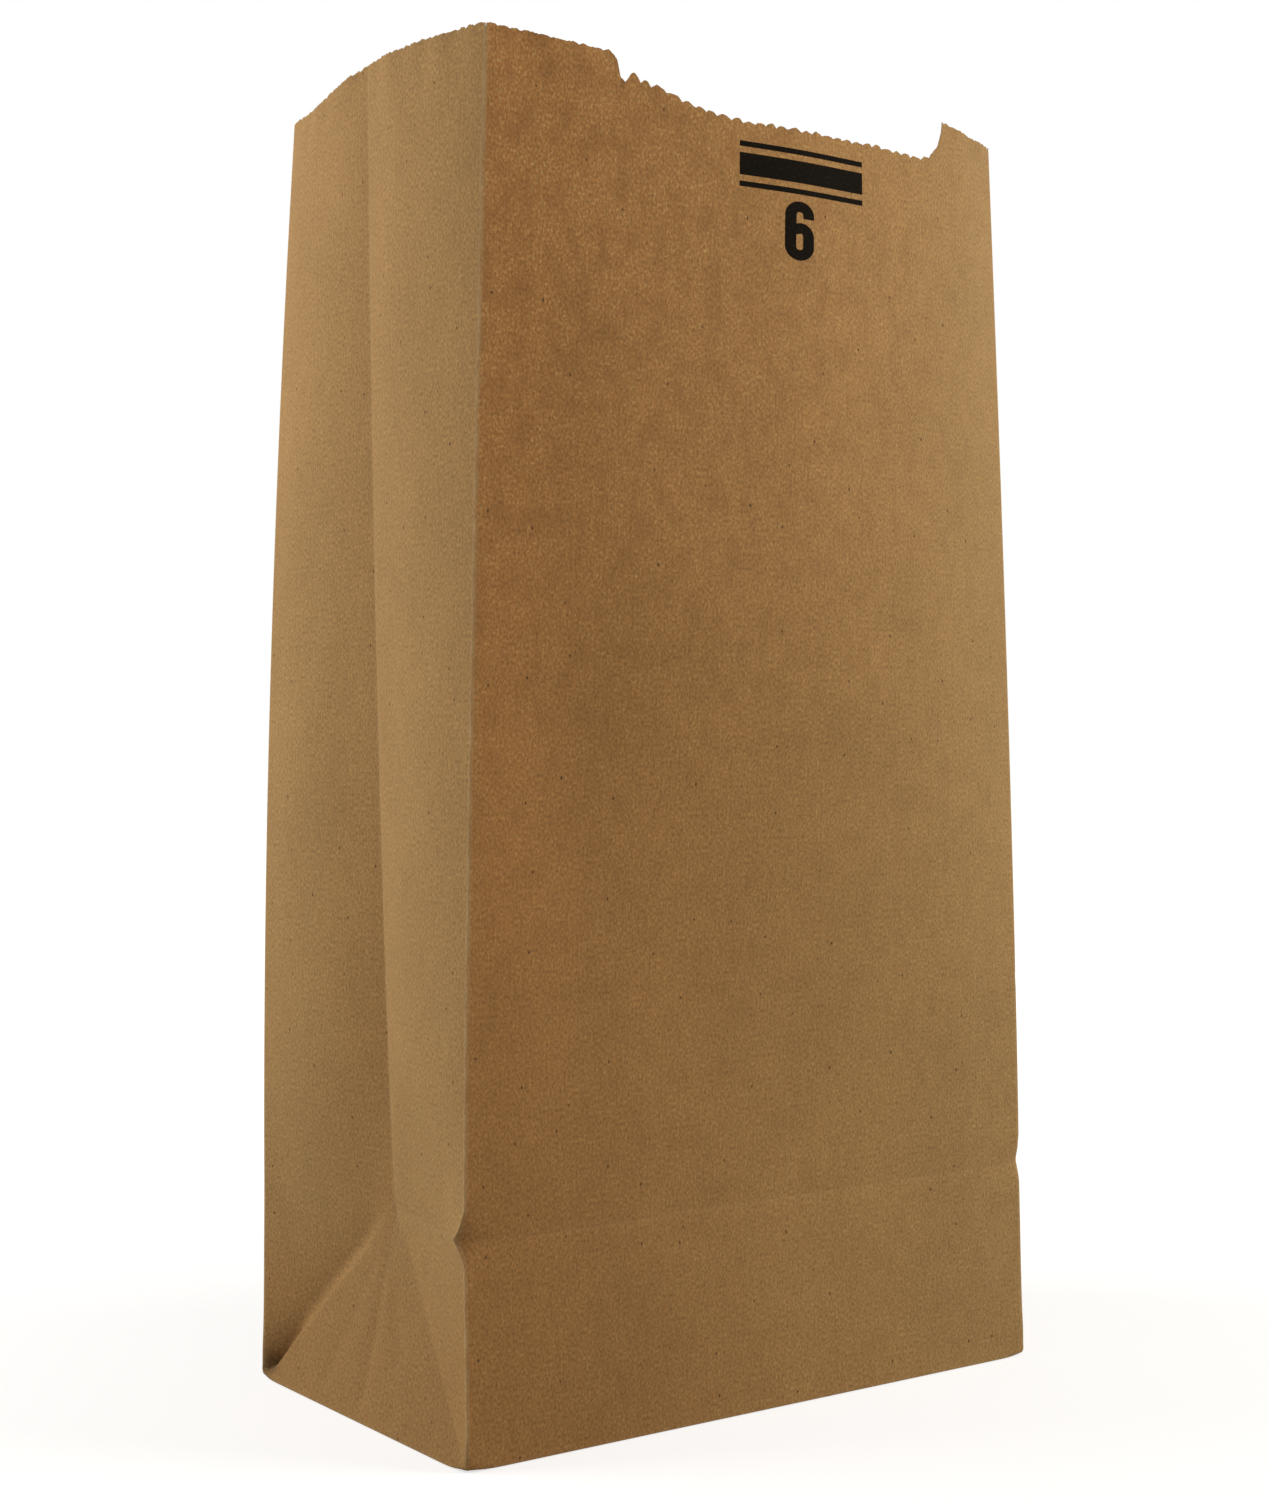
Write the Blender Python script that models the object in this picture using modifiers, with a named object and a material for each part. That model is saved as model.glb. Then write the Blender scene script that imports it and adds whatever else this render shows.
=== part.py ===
"""Brown paper lunch bag, standing open on its folded block bottom.

The bag is one sheet of kraft paper. The sheet is wrapped round into a tube, whose two edges lap and are
glued down the back, and the tube has a front panel, a back panel and a creased gusset at each side. Its
lower end is folded in and glued, as a flat bottom with one flap over the other. Its upper end is cut by a
toothed knife, with a thumb cut in the front panel.

The script does as the bag maker does. It lays the sheet out flat, cuts its upper edge, folds it to shape,
joins it down the back, closes the bottom and gives it the thickness of the paper.

Units are metres and +Z is up. The front panel faces -Y, and the origin is under the middle of the bottom.
"""

import math
from typing import NamedTuple

import bmesh
import bpy
from mathutils import Vector

# Sizes of the bag
WIDTH = 0.1524  # front and back panels, between their corner creases
DEPTH = 0.0900  # gusset, opened out
HEIGHT = 0.2845  # bottom to cut edge, up the paper
PAPER = 0.00012  # one layer of paper

# The bottom folds over at half the depth, so its crease runs round the bag at this height.
FOLD = DEPTH / 2

# Cut edge
TOOTH_PITCH = 0.00318
TOOTH_DEPTH = 0.0008
THUMB_CUT_START = 0.0315  # from the front left corner
THUMB_CUT_END = 0.1250
THUMB_CUT_DEPTH = 0.0098
THUMB_CUT_STEP = 0.0048  # straight down at its left end, from where it slopes to its full depth
THUMB_CUT_SLOPE = 0.030  # width of that slope
THUMB_CUT_ROUND = 0.0050  # width over which its right end curves up to the edge

# Glued joints
SEAM_LAP = 0.0254  # the sheet's two edges, down the back
SEAM_FROM_CORNER = 0.038  # visible edge of that lap, from the back right corner
FLAP_LAP = 0.0222  # one bottom flap over the other
FLAP_INSET = 0.0008  # the flaps start this far in from the bottom's folded edges

# How the opened bag stands
TUCK_AT_FOLD = 0.0094  # gusset crease, inwards of the line between its corners
TUCK_AT_MOUTH = -0.0034
MOUTH_CREASE_RISE = 0.0006  # gusset crease at the mouth, above the corners
FRONT_BOW = 0.0095  # middle of a panel, outwards of the line between its corners
FRONT_BOW_SKEW = 0.85  # 0 is an even bow, and 1 puts most of it in the right half
BACK_BOW = 0.0070
BACK_BOW_SKEW = 0.0
GUSSET_BOW = 0.0012  # middle of half a gusset, outwards of the line from crease to corner
BOW_RISE = 0.140  # height over which the bows grow to full size, above the fold
DENT_REACH = 0.006  # from a corner's dent to where the paper is flat again

# Longest step of the grid that the sheet is laid out on
COLUMN_STEP = 0.0125
ROW_STEP = 0.026
RIM_BAND = 0.005  # plain paper under the deepest cut
SAME_PLACE = 1e-6  # two places this near are one

COLLECTION = "paper_lunch_bag"
KRAFT_COLOUR = (0.352, 0.205, 0.087, 1.0)
KRAFT_ROUGHNESS = 0.85


class Corner(NamedTuple):
    """A corner crease: which side of the bag it is on, and how it stands from the bottom to the mouth."""

    x_side: int
    y_side: int
    lean_x: float  # how far the mouth's corner lies from the place above the bottom's corner
    lean_y: float
    bend: float  # 1 leans evenly from the fold up, and 2 keeps the lean for the upper part
    dent: float  # depth to which the corner is pushed in where the fold's crease crosses it


FRONT_LEFT = Corner(-1, -1, -0.0017, -0.0136, 1.25, 0.0026)
FRONT_RIGHT = Corner(1, -1, -0.0033, 0.0056, 1.35, 0.0008)
BACK_RIGHT = Corner(1, 1, -0.0010, 0.0040, 1.6, 0.0012)
BACK_LEFT = Corner(-1, 1, 0.0028, -0.0132, 1.85, 0.0008)


def smooth(value):
    """0 below 0, 1 above 1, and an even curve between them."""
    value = min(max(value, 0.0), 1.0)
    return value * value * (3 - 2 * value)


def rise(height):
    """How far a height lies on the way from the fold to the mouth, from 0 to 1."""
    return max(height - FOLD, 0.0) / (HEIGHT - FOLD)


def foot_of(corner):
    """Corner of the flat bottom."""
    return Vector((corner.x_side * WIDTH / 2, corner.y_side * DEPTH / 2, 0))


def apex_of(x_side):
    """Point where a gusset's crease meets the fold. The paper keeps its length as it is tucked in."""
    return Vector((x_side * (WIDTH / 2 - TUCK_AT_FOLD), 0, math.sqrt(FOLD**2 - TUCK_AT_FOLD**2)))


def knee_of(corner):
    """Point where a corner crosses the fold, drawn in by the tuck of the gusset beside it."""
    drawn_in = FOLD - math.sqrt(FOLD**2 - TUCK_AT_FOLD**2)
    return foot_of(corner) + Vector((0, -corner.y_side * drawn_in, FOLD))


def corner_at(corner, height):
    """Point on a corner crease."""
    if height <= FOLD:
        return foot_of(corner).lerp(knee_of(corner), height / FOLD)
    lean = rise(height) ** corner.bend
    return knee_of(corner) + Vector((corner.lean_x * lean, corner.lean_y * lean, height - FOLD))


def dent_at(corner, height):
    """Move of a corner crease into the bag, at the fold alone."""
    closeness = max(1 - abs(height - FOLD) / DENT_REACH, 0.0)
    inwards = Vector((-0.25 * corner.x_side, -corner.y_side, 0)).normalized()
    return inwards * corner.dent * closeness


def outwards(start, end):
    """Level direction out of the bag, square to the line from one point to the next one round the bag."""
    along = end - start
    return Vector((along.y, -along.x, 0)).normalized()


def gusset_crease_at(front, back, height):
    """Point on the middle crease of the gusset between two corners."""
    apex = apex_of(front.x_side)
    if height <= FOLD:
        middle_of_foot = (foot_of(front) + foot_of(back)) / 2
        return middle_of_foot.lerp(apex, height / FOLD)
    share = rise(height)
    start, end = corner_at(front, height), corner_at(back, height)
    tuck = TUCK_AT_FOLD + (TUCK_AT_MOUTH - TUCK_AT_FOLD) * share
    crease = (start + end) / 2 - outwards(start, end) * front.x_side * tuck
    crease.z = apex.z + (height - FOLD) * (HEIGHT + MOUTH_CREASE_RISE - apex.z) / (HEIGHT - FOLD)
    return crease


def bow_at(share, skew):
    """Bow at a share of a panel's width, as a curve from 0 to 1 to 0, or one that leans to the far end."""
    return 4 * share * (1 - share) * (1 + skew * (2 * share - 1))


def panel_point(start, end, bow, skew, distance, height):
    """Point of the front or back panel, at a distance from its first corner."""
    share = distance / WIDTH
    low, high = corner_at(start, height), corner_at(end, height)
    bulge = bow * bow_at(share, skew) * smooth((height - FOLD) / BOW_RISE)
    point = low.lerp(high, share) + outwards(low, high) * bulge
    near_start = max(1 - distance / DENT_REACH, 0.0)
    near_end = max(1 - (WIDTH - distance) / DENT_REACH, 0.0)
    return point + dent_at(start, height) * near_start + dent_at(end, height) * near_end


def gusset_point(corner, other, distance, height):
    """Point of half a gusset, at a distance from its corner, and other is the gusset's far corner."""
    share = distance / FOLD
    front, back = (corner, other) if corner.y_side < 0 else (other, corner)
    apex = apex_of(corner.x_side)
    if height < FOLD and distance <= height:
        # Between the corner and the diagonal crease that runs from the bottom's corner to the apex
        knee = knee_of(corner)
        point = foot_of(corner).lerp(knee, height / FOLD) + (apex - knee) * share
    elif height < FOLD:
        # The triangle under the two diagonal creases
        middle = (foot_of(front) + foot_of(back)) / 2
        point = foot_of(corner).lerp(middle, share) + (apex - middle) * (height / FOLD)
    else:
        edge, crease = corner_at(corner, height), gusset_crease_at(front, back, height)
        bulge = GUSSET_BOW * bow_at(share, 0) * smooth((height - FOLD) / BOW_RISE)
        point = edge.lerp(crease, share) + Vector((corner.x_side * bulge, 0, 0))
    return point + dent_at(corner, height) * max(1 - distance / DENT_REACH, 0.0)


def fold(around, height):
    """Folded place of a point of the flat sheet. around runs eastwards from the front left corner."""
    around %= 2 * (WIDTH + DEPTH)
    if around < WIDTH:
        return panel_point(FRONT_LEFT, FRONT_RIGHT, FRONT_BOW, FRONT_BOW_SKEW, around, height)
    around -= WIDTH
    if around < FOLD:
        return gusset_point(FRONT_RIGHT, BACK_RIGHT, around, height)
    if around < DEPTH:
        return gusset_point(BACK_RIGHT, FRONT_RIGHT, DEPTH - around, height)
    around -= DEPTH
    if around < WIDTH:
        return panel_point(BACK_RIGHT, BACK_LEFT, BACK_BOW, BACK_BOW_SKEW, around, height)
    around -= WIDTH
    if around < FOLD:
        return gusset_point(BACK_LEFT, FRONT_LEFT, around, height)
    return gusset_point(FRONT_LEFT, BACK_LEFT, DEPTH - around, height)


def steps_between(breaks, longest):
    """The breaks, and even steps between each two of them."""
    places = [breaks[0]]
    for start, end in zip(breaks, breaks[1:]):
        count = max(math.ceil((end - start) / longest - SAME_PLACE), 1)
        places += [start + (end - start) * step / count for step in range(1, count + 1)]
    return places


def columns_of_sheet():
    """Distances round the bag at which the sheet has a column, from the seam round to the seam again."""
    half_gusset = steps_between([0, DENT_REACH, FOLD - DENT_REACH, FOLD], COLUMN_STEP)
    gusset = half_gusset + [DEPTH - place for place in reversed(half_gusset[:-1])]
    front_breaks = [0, DENT_REACH, THUMB_CUT_START - TOOTH_PITCH / 4, THUMB_CUT_START]
    front_breaks += [THUMB_CUT_END - THUMB_CUT_ROUND, THUMB_CUT_END, WIDTH - DENT_REACH, WIDTH]
    front = steps_between(front_breaks, COLUMN_STEP)
    lap_end = SEAM_FROM_CORNER + SEAM_LAP
    back = steps_between([0, DENT_REACH, SEAM_FROM_CORNER, SEAM_FROM_CORNER + PAPER, lap_end], COLUMN_STEP)
    back += steps_between([lap_end, WIDTH - DENT_REACH, WIDTH], COLUMN_STEP)[1:]
    right_start, back_start = WIDTH, WIDTH + DEPTH
    left_start = back_start + WIDTH
    around = front[:-1] + [right_start + place for place in gusset[:-1]]
    around += [back_start + place for place in back[:-1]] + [left_start + place for place in gusset[:-1]]
    seam = back_start + SEAM_FROM_CORNER
    girth = 2 * (WIDTH + DEPTH)
    around = [place if place >= seam - SAME_PLACE else place + girth for place in around]
    return sorted(around) + [seam + girth]


def rows_of_sheet():
    """Heights at which the sheet has a row. Those under the fold match the gusset's columns, so that a
    diagonal crease runs through the corners of the grid."""
    under_fold = steps_between([0, DENT_REACH, FOLD - DENT_REACH, FOLD], COLUMN_STEP)
    top_band = HEIGHT - THUMB_CUT_DEPTH - TOOTH_DEPTH - RIM_BAND
    return under_fold + steps_between([FOLD, FOLD + DENT_REACH, DEPTH, top_band], ROW_STEP)[1:]


def is_on_diagonal(around, height):
    """Whether a point of the flat sheet lies on a diagonal crease of a gusset."""
    across = (around % (WIDTH + DEPTH)) - WIDTH
    from_corner = min(across, DEPTH - across)
    return across >= 0 and height < FOLD + SAME_PLACE and abs(from_corner - height) < SAME_PLACE


def thumb_cut_at(around):
    """Depth of the thumb cut at a distance round the bag."""
    around %= 2 * (WIDTH + DEPTH)
    if not THUMB_CUT_START - SAME_PLACE < around < THUMB_CUT_END:
        return 0.0
    slope = smooth((around - THUMB_CUT_START) / THUMB_CUT_SLOPE)
    depth = THUMB_CUT_STEP + (THUMB_CUT_DEPTH - THUMB_CUT_STEP) * slope
    into_round = min((THUMB_CUT_END - around) / THUMB_CUT_ROUND, 1.0)
    return depth * math.sqrt(1 - (1 - into_round) ** 2)


def lay_out_sheet(mesh):
    """The flat sheet, with X as the distance round the bag and Y as the height up it."""
    columns, rows = columns_of_sheet(), rows_of_sheet() + [HEIGHT]
    bmesh.ops.create_grid(mesh, x_segments=len(columns) - 1, y_segments=len(rows) - 1, size=1)
    for vertex in mesh.verts:
        column = round((vertex.co.x + 1) / 2 * (len(columns) - 1))
        row = round((vertex.co.y + 1) / 2 * (len(rows) - 1))
        vertex.co = (columns[column], rows[row], 0)


def cut_upper_edge(mesh):
    """Teeth along the upper edge, and the thumb cut."""
    at_top = {vertex for vertex in mesh.verts if vertex.co.y > HEIGHT - SAME_PLACE}
    for edge in [edge for edge in mesh.edges if at_top.issuperset(edge.verts)]:
        left, right = sorted(vertex.co.x for vertex in edge.verts)
        teeth = max(round((right - left) / TOOTH_PITCH), 1)
        made = bmesh.ops.bisect_edges(mesh, edges=[edge], cuts=2 * teeth - 1)
        for vertex in [item for item in made["geom_split"] if isinstance(item, bmesh.types.BMVert)]:
            half_teeth = round((vertex.co.x - left) / (right - left) * 2 * teeth)
            if half_teeth % 2 == 0:
                vertex.co.y = HEIGHT - TOOTH_DEPTH
    for vertex in mesh.verts:
        if vertex.co.y > HEIGHT - TOOTH_DEPTH - SAME_PLACE:
            vertex.co.y -= thumb_cut_at(vertex.co.x)


def crease_diagonals(mesh):
    """An edge along each diagonal crease, while the sheet is flat."""
    on_crease = [vertex for vertex in mesh.verts if is_on_diagonal(vertex.co.x, vertex.co.y)]
    bmesh.ops.connect_verts(mesh, verts=on_crease)


def mark_lap(mesh, layers, group):
    """Gives the glued lap its two layers of paper. The rest of the sheet has one."""
    seam = WIDTH + DEPTH + SEAM_FROM_CORNER
    for vertex in mesh.verts:
        inside = seam + PAPER / 2 < vertex.co.x < seam + SEAM_LAP + SAME_PLACE
        vertex[layers][group] = 1.0 if inside else 0.0


def close_bottom(mesh):
    """One face across the foot of the tube, pointing down."""
    ring = [vertex for vertex in mesh.verts if abs(vertex.co.z) < SAME_PLACE]
    ring.sort(key=lambda vertex: math.atan2(vertex.co.y, vertex.co.x), reverse=True)
    mesh.faces.new(ring)


def kraft_paper():
    """Unbleached kraft paper, matt."""
    material = bpy.data.materials.new("kraft_paper")
    material.use_nodes = True
    shader = material.node_tree.nodes["Principled BSDF"]
    shader.inputs["Base Color"].default_value = KRAFT_COLOUR
    shader.inputs["Roughness"].default_value = KRAFT_ROUGHNESS
    shader.inputs["Metallic"].default_value = 0.0
    return material


def folded_sheet():
    """The bag's sheet as an object: an open surface, thickened outwards by one layer of paper, or two in
    the lap."""
    mesh = bmesh.new()
    layers = mesh.verts.layers.deform.verify()
    lay_out_sheet(mesh)
    crease_diagonals(mesh)
    cut_upper_edge(mesh)
    mark_lap(mesh, layers, 0)
    for vertex in mesh.verts:
        vertex.co = fold(vertex.co.x, vertex.co.y)
    bmesh.ops.remove_doubles(mesh, verts=mesh.verts[:], dist=SAME_PLACE)
    close_bottom(mesh)
    bmesh.ops.triangulate(mesh, faces=mesh.faces[:])
    data = bpy.data.meshes.new("paper_bag")
    mesh.to_mesh(data)
    mesh.free()
    bag = bpy.data.objects.new("paper_bag", data)
    bag.vertex_groups.new(name="lap")
    # Two flaps lie under the bottom's inner layer.
    bag.location.z = 3 * PAPER
    thickness = bag.modifiers.new("paper", "SOLIDIFY")
    thickness.thickness = 2 * PAPER
    thickness.vertex_group = "lap"
    thickness.thickness_vertex_group = 0.5
    thickness.offset = 1
    thickness.use_even_offset = True
    return bag


def bottom_flap(name, y_side, lowest):
    """A flap of the bottom, from one long edge past the middle. Its ends follow the folds that run in from
    the corners at 45 degrees."""
    reach = DEPTH / 2 + FLAP_LAP / 2
    half_width = WIDTH / 2 - FLAP_INSET
    outer, inner = y_side * (DEPTH / 2 - FLAP_INSET), y_side * (DEPTH / 2 - reach)
    narrow = half_width - (reach - FLAP_INSET)
    corners = [(-half_width, outer), (half_width, outer), (narrow, inner), (-narrow, inner)]
    highest = 2.5 * PAPER
    outline = bpy.data.curves.new(name, "CURVE")
    outline.dimensions = "2D"
    outline.fill_mode = "BOTH"
    outline.extrude = (highest - lowest) / 2
    spline = outline.splines.new("POLY")
    spline.points.add(len(corners) - 1)
    for point, (x, y) in zip(spline.points, corners):
        point.co = (x, y, 0, 1)
    spline.use_cyclic_u = True
    guide = bpy.data.objects.new(name, outline)
    guide.location.z = (highest + lowest) / 2
    return guide


def as_mesh(guide, collection):
    """A mesh object in place of a curve object, with its caps welded, for use in a Boolean."""
    collection.objects.link(guide)
    bpy.context.view_layer.update()
    evaluated = guide.evaluated_get(bpy.context.evaluated_depsgraph_get())
    data = bpy.data.meshes.new_from_object(evaluated)
    mesh = bmesh.new()
    mesh.from_mesh(data)
    bmesh.ops.remove_doubles(mesh, verts=mesh.verts[:], dist=SAME_PLACE)
    bmesh.ops.recalc_face_normals(mesh, faces=mesh.faces[:])
    mesh.to_mesh(data)
    mesh.free()
    name, place = guide.name, guide.matrix_world.copy()
    bpy.data.objects.remove(guide)
    made = bpy.data.objects.new(name, data)
    made.matrix_world = place
    made.hide_render = True
    made.display_type = "WIRE"
    collection.objects.link(made)
    return made


def join(target, other):
    """Joins another solid to the target with a Boolean union."""
    union = target.modifiers.new(other.name, "BOOLEAN")
    union.operation = "UNION"
    union.object = other


def new_collection(name):
    collection = bpy.data.collections.new(name)
    bpy.context.scene.collection.children.link(collection)
    return collection


def main():
    for old in list(bpy.data.objects):
        bpy.data.objects.remove(old)
    parts, helpers = new_collection(COLLECTION), new_collection("helpers")
    bag = folded_sheet()
    bag.data.materials.append(kraft_paper())
    parts.objects.link(bag)
    join(bag, as_mesh(bottom_flap("front_flap", -1, PAPER), helpers))
    join(bag, as_mesh(bottom_flap("back_flap", 1, 0), helpers))


main()
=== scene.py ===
"""Looks of a brown paper lunch bag that stands open on its folded block bottom.

The bag is one sheet of kraft paper. Here the sheet is a grid of points that is laid out flat, cut along its
toothed upper edge, folded to shape, lapped down the back, closed at the bottom and given the thickness of
the paper. Its size mark is printed on the front panel, and a plain studio stands round it.

Places are in metres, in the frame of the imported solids: +Z is up, the front panel faces -Y and the origin
is under the middle of the bottom. On the flat sheet, around is the distance eastwards from the front left
corner, and height is the distance up from the folded edge of the bottom, so it is negative in the bottom's
flaps.
"""

import itertools
import logging
import math
from collections.abc import Sequence
from dataclasses import dataclass, field
from enum import Enum

import bpy
import numpy as np
from mathutils import Matrix
from numpy.typing import NDArray


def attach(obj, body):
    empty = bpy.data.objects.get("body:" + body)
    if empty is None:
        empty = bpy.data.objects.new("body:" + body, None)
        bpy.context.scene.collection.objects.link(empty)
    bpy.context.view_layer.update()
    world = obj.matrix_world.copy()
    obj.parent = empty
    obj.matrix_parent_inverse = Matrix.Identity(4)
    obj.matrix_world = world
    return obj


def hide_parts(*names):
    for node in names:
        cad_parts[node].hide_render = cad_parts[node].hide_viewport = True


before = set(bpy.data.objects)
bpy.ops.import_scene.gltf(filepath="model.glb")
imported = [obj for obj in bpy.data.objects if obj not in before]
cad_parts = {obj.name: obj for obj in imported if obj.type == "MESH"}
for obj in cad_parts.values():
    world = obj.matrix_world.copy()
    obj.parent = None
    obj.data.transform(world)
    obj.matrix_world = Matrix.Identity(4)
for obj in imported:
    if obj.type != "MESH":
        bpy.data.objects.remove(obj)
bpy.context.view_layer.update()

Floats = NDArray[np.float64]
Indices = NDArray[np.int64]
Colour = tuple[float, float, float]

SHARP_EDGE = math.radians(58)
"""Angle from which an edge between two faces is shaded sharp."""

log = logging.getLogger("lunch_bag")


def smooth(value: Floats) -> Floats:
    """Even step.

    Args:
        value: Any numbers.

    Returns:
        0 below 0, 1 above 1, and 3 v^2 - 2 v^3 between them.
    """
    clipped = np.clip(value, 0.0, 1.0)
    return clipped * clipped * (3 - 2 * clipped)


def bell(distance: Floats, reach: float) -> Floats:
    """Smooth bell round 0.

    Args:
        distance: Distance from the bell's middle.
        reach: Distance at which the bell has fallen to 1/e.

    Returns:
        exp(-(distance / reach)^2).
    """
    return np.exp(-((distance / reach) ** 2))


def ramp(value: Floats, start: float, end: float) -> Floats:
    """Even step from 0 at a start to 1 at an end, which may lie below the start."""
    return smooth((value - start) / (end - start))


def bow_at(share: Floats, skew: float) -> Floats:
    """Curve of a bowed panel.

    Args:
        share: Place across the panel, from 0 to 1.
        skew: 0 for an even bow, and towards 1 for one that leans to the far side.

    Returns:
        The parabola 4 s (1 - s), times 1 + skew (2 s - 1).
    """
    return 4 * share * (1 - share) * (1 + skew * (2 * share - 1))


def outwards(start: Floats, end: Floats) -> Floats:
    """Level directions out of the bag.

    Args:
        start: Points on one upright crease.
        end: Points on the next crease eastwards, at the same heights.

    Returns:
        Unit vectors square to the lines between them, away from the inside.
    """
    along = end - start
    square = np.stack([along[:, 1], -along[:, 0], np.zeros(len(along))], axis=1)
    return square / np.linalg.norm(square, axis=1, keepdims=True)


class Face(Enum):
    """Sides of the bag, in their order eastwards round it."""

    FRONT = "front panel"
    RIGHT = "right gusset"
    BACK = "back panel"
    LEFT = "left gusset"

    @property
    def is_panel(self) -> bool:
        """Whether it is a panel and not a gusset."""
        return self in (Face.FRONT, Face.BACK)


FLAP_LEVELS = {Face.FRONT: 2, Face.RIGHT: 3, Face.BACK: 1, Face.LEFT: 3}
"""Layers of the bottom by which each face's flap lies above the lowest one."""


@dataclass(frozen=True)
class Corner:
    """Corner crease, from the bottom to the mouth."""

    x_side: int
    y_side: int
    lean_x: float
    """How far the mouth's corner lies from the place above the bottom's corner."""
    lean_y: float
    bend: float
    """1 leans evenly from the fold up, and 2 keeps the lean for the upper part."""
    dent: tuple[float, float] = (0.0, 0.0)
    """How far the pinch at the fold's crease goes out sideways, and in from the panel."""


@dataclass(frozen=True)
class BagForm:
    """Sizes of the folded bag, and the map from the flat sheet to its folded place."""

    width: float = 0.1524
    depth: float = 0.0900
    height: float = 0.2845
    paper: float = 0.00012
    layer: float = 0.00014
    """From one layer of the bottom to the next one."""
    seam_lap: float = 0.0254
    seam_from_corner: float = 0.038
    """Edge of the lap, from the back right corner."""
    flap_lap: float = 0.0222
    tuck_at_fold: float = 0.0094
    """Gusset crease, inwards of the line between its corners."""
    tuck_at_mouth: float = -0.0034
    crease_rise: float = 0.0015
    """Gusset crease at the mouth, above the corners."""
    front_bow: float = 0.0095
    front_bow_skew: float = 0.85
    back_bow: float = 0.0070
    gusset_bow: float = 0.0022
    bow_rise: float = 0.140
    """Height over which the panels' bows grow to their full size, above the fold."""
    gusset_bow_rise: float = 0.035
    dent_up: float = 0.0042
    dent_down: float = 0.0050
    dent_rise: float = 0.0010
    """Height of its deepest point over the fold."""
    dent_across_panel: float = 0.0018
    dent_across_gusset: float = 0.0040
    side_flap_inset: float = 0.0007
    lowest_level: float = 1.7
    """Height of the bottom's edge, in layers."""
    foot_step: float = 0.0012
    """Length over which a flap rises from the bottom's edge to its own layer."""
    floor_lift: float = 0.0006
    """Rise of the bottom's middle above its edges."""
    crease_radius: float = 0.0001
    foot_radius: float = 0.0015
    """Rounding of the bottom's four corners."""
    foot_reach: float = 0.0040
    flare_x: float = 0.0010
    """How far the bottom's edge spreads outwards at the gussets."""
    flare_y: float = 0.0004
    """The same at the panels."""
    flare_reach: float = 0.0050
    same_place: float = 1e-6
    """Distance within which two places count as one."""
    blur_points: int = 5
    """Places each way, on the flat sheet, whose mean rounds a crease."""
    blur_fall: float = 2.5
    """A place r radii away counts 1 - r^2 / blur_fall times in that mean."""
    front_left: Corner = Corner(-1, -1, -0.0017, -0.0136, 1.25, dent=(0.0013, 0.0022))
    front_right: Corner = Corner(1, -1, -0.0033, 0.0056, 1.35, dent=(0.0, 0.0009))
    back_right: Corner = Corner(1, 1, -0.0010, 0.0040, 1.6)
    back_left: Corner = Corner(-1, 1, 0.0028, -0.0132, 1.85)

    @property
    def fold(self) -> float:
        """Height of the crease at which the bottom folds up, half the gusset's depth."""
        return self.depth / 2

    @property
    def girth(self) -> float:
        """Distance round the bag."""
        return 2 * (self.width + self.depth)

    @property
    def seam(self) -> float:
        """Distance round to the sheet's first edge."""
        return self.width + self.depth + self.seam_from_corner

    @property
    def flap_reach(self) -> float:
        """Length of a flap of the bottom."""
        return self.depth / 2 + self.flap_lap / 2

    @property
    def apex_height(self) -> float:
        """Height of the point where a gusset's crease meets the fold, as the paper keeps its length."""
        return math.sqrt(self.fold**2 - self.tuck_at_fold**2)

    def spans(self) -> list[tuple[Face, float, float]]:
        """Faces in their order round the bag.

        Returns:
            Each face, with the distances round the bag at which it starts and ends.
        """
        widths = [self.width, self.depth, self.width, self.depth]
        ends = np.cumsum(widths)
        return list(zip(Face, (ends - widths).tolist(), ends.tolist()))

    def corner_places(self) -> list[float]:
        """Distances round the bag of its corners, with the first one again at the end."""
        return [start for _, start, _ in self.spans()] + [self.girth]

    def corners_of(self, face: Face) -> tuple[Corner, Corner]:
        """Corners of a face.

        Args:
            face: Which face.

        Returns:
            Its west corner and its east corner.
        """
        ring = [self.front_left, self.front_right, self.back_right, self.back_left]
        place = list(Face).index(face)
        return ring[place], ring[(place + 1) % len(ring)]

    def above_fold(self, height: Floats) -> Floats:
        """Share of the way from the fold up to the mouth, 0 under the fold."""
        return np.clip(height - self.fold, 0.0, None) / (self.height - self.fold)

    def corner_line(self, corner: Corner, height: Floats) -> Floats:
        """Points on a corner crease.

        The crease rises straight from the bottom's corner to the fold, drawn in by the gusset's tuck, and
        from there leans as the height's share to the power of its bend.

        Args:
            corner: Which corner.
            height: Heights up the paper.

        Returns:
            One point for each height.
        """
        drawn_in = self.fold - self.apex_height
        low = np.clip(height / self.fold, 0.0, 1.0)
        lean = self.above_fold(height) ** corner.bend
        x = corner.x_side * self.width / 2 + corner.lean_x * lean
        y = corner.y_side * (self.depth / 2 - drawn_in * low) + corner.lean_y * lean
        return np.stack([x, y, height], axis=1)

    def gusset_crease(self, front: Corner, back: Corner, height: Floats) -> Floats:
        """Points on a gusset's middle crease above the fold.

        It keeps a distance, the tuck, from the line between its corners, and the tuck changes evenly.

        Args:
            front: The gusset's front corner.
            back: Its back corner.
            height: Heights up the paper.

        Returns:
            One point for each height.
        """
        share = self.above_fold(height)
        start, end = self.corner_line(front, height), self.corner_line(back, height)
        tuck = self.tuck_at_fold + (self.tuck_at_mouth - self.tuck_at_fold) * share
        crease = (start + end) / 2 - outwards(start, end) * front.x_side * tuck[:, None]
        crease[:, 2] = self.apex_height + (self.height + self.crease_rise - self.apex_height) * share
        return crease

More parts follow.
